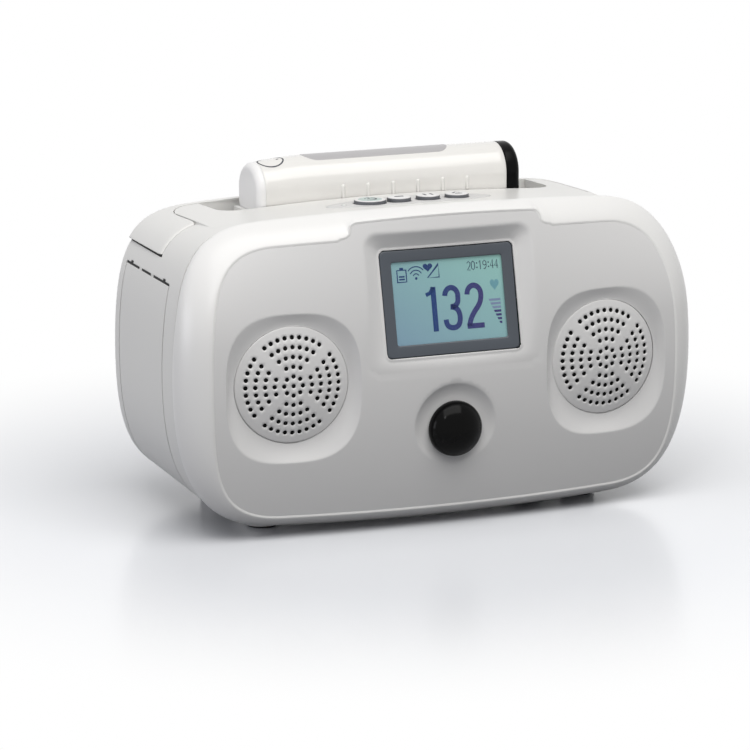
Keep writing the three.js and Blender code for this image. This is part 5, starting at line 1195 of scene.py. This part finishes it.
# Sections from start to end, shrunk by a circle's arc toward the probe's ends and by the edge at a cut
def probeRun(name, start, end, edge=0.0):
    ends = probe["half"] - probe["endRound"]
    fine = ends + probe["endRound"] * np.sin(np.radians(np.linspace(0, 90, 10)))
    stops = np.concatenate([-fine[::-1], np.linspace(-ends, ends, 40)[1:-1], fine])
    between = stops[(stops > start + edge) & (stops < end - edge)]
    places = joinRuns([start, start + edge], between, [end - edge, end])
    rings = []
    for at, x in enumerate(places):
        past = max(0.0, abs(x) - ends)
        drawn = probe["endRound"] - math.sqrt(max(0.0, probe["endRound"] ** 2 - past ** 2))
        worn = edge if at in (0, len(places) - 1) else 0.0
        section = probeSection(min(drawn, probe["endRound"] - 0.05) + worn) + [probe["y"], 0.0]
        rings.append(np.insert(section, 0, x, axis=1))
    return solid(name, rings)


# The tip falls: z drops with a power of x past fallFrom and with the height above the split
def setTipFall(thing):
    def shift(x, y, z):
        along = np.clip((probe["fallFrom"] - x) / (probe["half"] + probe["fallFrom"]), 0, 1)
        upright = np.clip((z - probe["split"]) / (probe["top"] - probe["split"]), 0, None)
        return -probe["tipFall"] * along ** 1.5 * upright

    return shiftPoints(thing, 2, shift)


# Rib: half a round bar that ends in a ball at its top
def probeRib(x):
    front = probe["y"] - probe["halfWidth"]
    half, proud, low, high = ribs["half"], ribs["proud"], ribs["low"], ribs["high"]
    across = np.linspace(0, np.pi, 17)
    rings = []
    for up in [low - 0.6, low] + [high + half * math.sin(turn) for turn in np.radians(np.linspace(0, 88, 9))]:
        size = math.sqrt(1 - (max(0.0, up - high) / half) ** 2) if up >= low else 0.4
        bar = polar(1.0, across) * [half * size, -(proud + 0.6) * size] + [x, front + 0.6]
        rings.append(np.insert(bar, 2, up, axis=1))
    return solid("rib", rings)


# Height of the probe's round top over a point across it
def topZ(across):
    return probe["top"] - probe["halfWidth"] + np.sqrt(probe["halfWidth"] ** 2 - across ** 2)


def probePieces():
    left, right = -probe["half"] + probe["faceLength"] + 0.3, probe["half"] - probe["capLength"] - 0.3
    upper = probeRun("probeUpper", left, right, probe["edge"])
    upper = cutBy(upper, block("below", (-71, 70, 140), (71, 103, probe["split"] + probe["splitGap"])))
    upper = union(upper, *[probeRib(ribs["first"] + ribs["pitch"] * index) for index in range(ribs["count"])])
    finishPiece(setTipFall(upper), "probe", probeWhite, ["probe_upper_shell"], angle=50)
    lower = probeRun("probeLower", left, right, probe["edge"])
    lower = common(lower, block("above", (-71, 70, 140), (71, 103, probe["split"] - probe["splitGap"])))
    finishPiece(lower, "probe", probeWhite, ["probe_lower_shell"], angle=50)
    face = setTipFall(probeRun("probeFace", -probe["half"], left - 0.04))
    finishPiece(face, "probe", faceRubber, ["probe_face"], angle=60)
    cap = probeRun("probeCap", right + 0.3, probe["half"])
    finishPiece(cap, "probe", capBlack, ["probe_end_cap"], angle=60)
    rings = []
    for share, lift in [(0.0, -0.3), (0.0, 0.08), (0.04, 0.16)] + [
            (share, label["lift"]) for share in (0.12, 1.4, 2.8, 4.2, 5.6, 6.94)]:
        long, wide = label["half"][0] - share, label["half"][1] - share
        loop = roundedLoop(long, wide, wide, steps=24)
        rings.append(np.stack([label["x"] + loop[:, 0], probe["y"] + loop[:, 1], topZ(loop[:, 1]) + lift], 1))
    finishPiece(solid("probeLabel", rings), "probe", labelFilm, ["probe_label"], angle=50)
    ring = circle(1.0, 60) * label["ring"] + label["ringPlace"]
    points, faces = strokeFaces([(ring, 0.75, True), ([(-54.3, -1.6), (-55.8, -2.2)], 0.8)])
    x, across = np.concatenate(points).T
    place = np.stack([x, probe["y"] + across, topZ(across) + 0.05], 1)
    mark = flatMark("probeButtonLine", place, faces, 2, 1)
    finishPiece(setTipFall(mark), "probe", printDark, [])


probePieces()
print("probe made")

# Floor, lights and camera
studio = {"floorNear": 0.16, "floorFar": 0.36, "floorHalf": 9, "sky": 0.28, "key": 22.5,
          "keyPlace": (-0.05, -0.7, 1.45), "keySize": (1.7, 1.3), "sideFill": 8.0, "sparkle": 1.2}


# Camera and mirror rays see a white paper floor, and bounced light sees a grey one
def seenDirectly(tree):
    path = addNode(tree, "LightPath", (-800, 500)).outputs
    either = addNode(tree, "Math", (-600, 500), {0: path["Is Camera Ray"], 1: path["Is Glossy Ray"]},
                     operation="MAXIMUM")
    return addNode(tree, "Math", (-400, 500), {0: either, 1: path["Is Transmission Ray"]}, operation="MAXIMUM")


# Smooth pale paper: a soft mirror close to the object, fading to plain white with the distance
def floorMaterial():
    material, tree, place = newMaterial("palePaperFloor")
    seen = seenDirectly(tree)
    away = addNode(tree, "VectorMath", (-800, 200), {0: place}, operation="LENGTH").outputs["Value"]
    faded = addNode(tree, "MapRange", (-600, 200), {
        "Value": away, "From Min": studio["floorNear"], "From Max": studio["floorFar"]},
        interpolation_type="SMOOTHSTEP")
    whiteShare = addNode(tree, "Math", (-400, 200), {0: faded, 1: seen}, operation="MULTIPLY")
    paper = addNode(tree, "BsdfPrincipled", (0, 0), {
        "Base Color": drifting(tree, place, "F3F4F7 EFF1F5", 3.0), "Roughness": 0.22, "IOR": 1.5})
    dull = addNode(tree, "BsdfDiffuse", (0, -200), {"Color": toLinear("76777A")})
    white = addNode(tree, "Emission", (0, 200), {"Color": (1, 1, 1, 1), "Strength": 1.0})
    lit = addNode(tree, "MixShader", (300, -100), {"Fac": seen, 1: dull, 2: paper})
    return finishMaterial(material, addNode(tree, "MixShader", (500, 0), {"Fac": whiteShare, 1: lit, 2: white}))


floorMesh = bpy.data.meshes.new("floor")
floorMesh.from_pydata([(x * studio["floorHalf"], y * studio["floorHalf"], 0)
                       for x, y in ((-1, -1), (1, -1), (1, 1), (-1, 1))], [], [(0, 1, 2, 3)])
floor = bpy.data.objects.new("floor", floorMesh)
floorMesh.materials.append(floorMaterial())
scene.collection.objects.link(floor)


def areaLight(name, place, targetZ, size, power, colour="FFFFFF"):
    data = bpy.data.lights.new(name, "AREA")
    data.shape = "RECTANGLE"
    data.size, data.size_y = size
    data.energy = power
    data.color = toLinear(colour)[:3]
    light = bpy.data.objects.new(name, data)
    scene.collection.objects.link(light)
    light.location = place
    light.rotation_euler = (Vector((0, 0, targetZ)) - Vector(place)).to_track_quat("-Z", "Y").to_euler()


areaLight("overheadSoftbox", studio["keyPlace"], 0.07, studio["keySize"], studio["key"], "FFFEFC")
areaLight("leftFill", (-1.8, 0.0, 0.26), 0.08, (0.9, 0.9), studio["sideFill"], "F6F7FF")
areaLight("sparkleLamp", (-0.75, -1.2, 1.0), 0.08, (0.14, 0.14), studio["sparkle"])

world = bpy.data.worlds.new("studio")
scene.world = world
world.use_nodes = True
tree = world.node_tree
tree.nodes.clear()
dim = addNode(tree, "Background", (-200, 100), {"Color": toLinear("F3F5F9"), "Strength": studio["sky"]})
bright = addNode(tree, "Background", (-200, -100), {"Color": (1, 1, 1, 1), "Strength": 1.0})
mixed = addNode(tree, "MixShader", (100, 0), {"Fac": seenDirectly(tree), 1: dim, 2: bright})
addNode(tree, "OutputWorld", (300, 0), {"Surface": mixed})

view = {"azimuth": math.radians(22.84), "elevation": math.radians(12.52), "distance": 2.1,
        "target": (-0.03918, -0.0535, 0.077), "focal": 4421.3 / 750 * 36}
cameraData = bpy.data.cameras.new("camera")
cameraData.lens = view["focal"]
cameraData.sensor_width = 36
cameraData.clip_end = 50
camera = bpy.data.objects.new("camera", cameraData)
scene.collection.objects.link(camera)
azimuth, elevation = view["azimuth"], view["elevation"]
level = math.cos(elevation)
toCamera = np.array([-math.sin(azimuth) * level, -math.cos(azimuth) * level, math.sin(elevation)])
camera.location = np.array(view["target"]) + view["distance"] * toCamera
camera.rotation_euler = (math.pi / 2 - elevation, 0, -azimuth)
scene.camera = camera
scene.view_settings.view_transform = "Standard"

print("scene made")
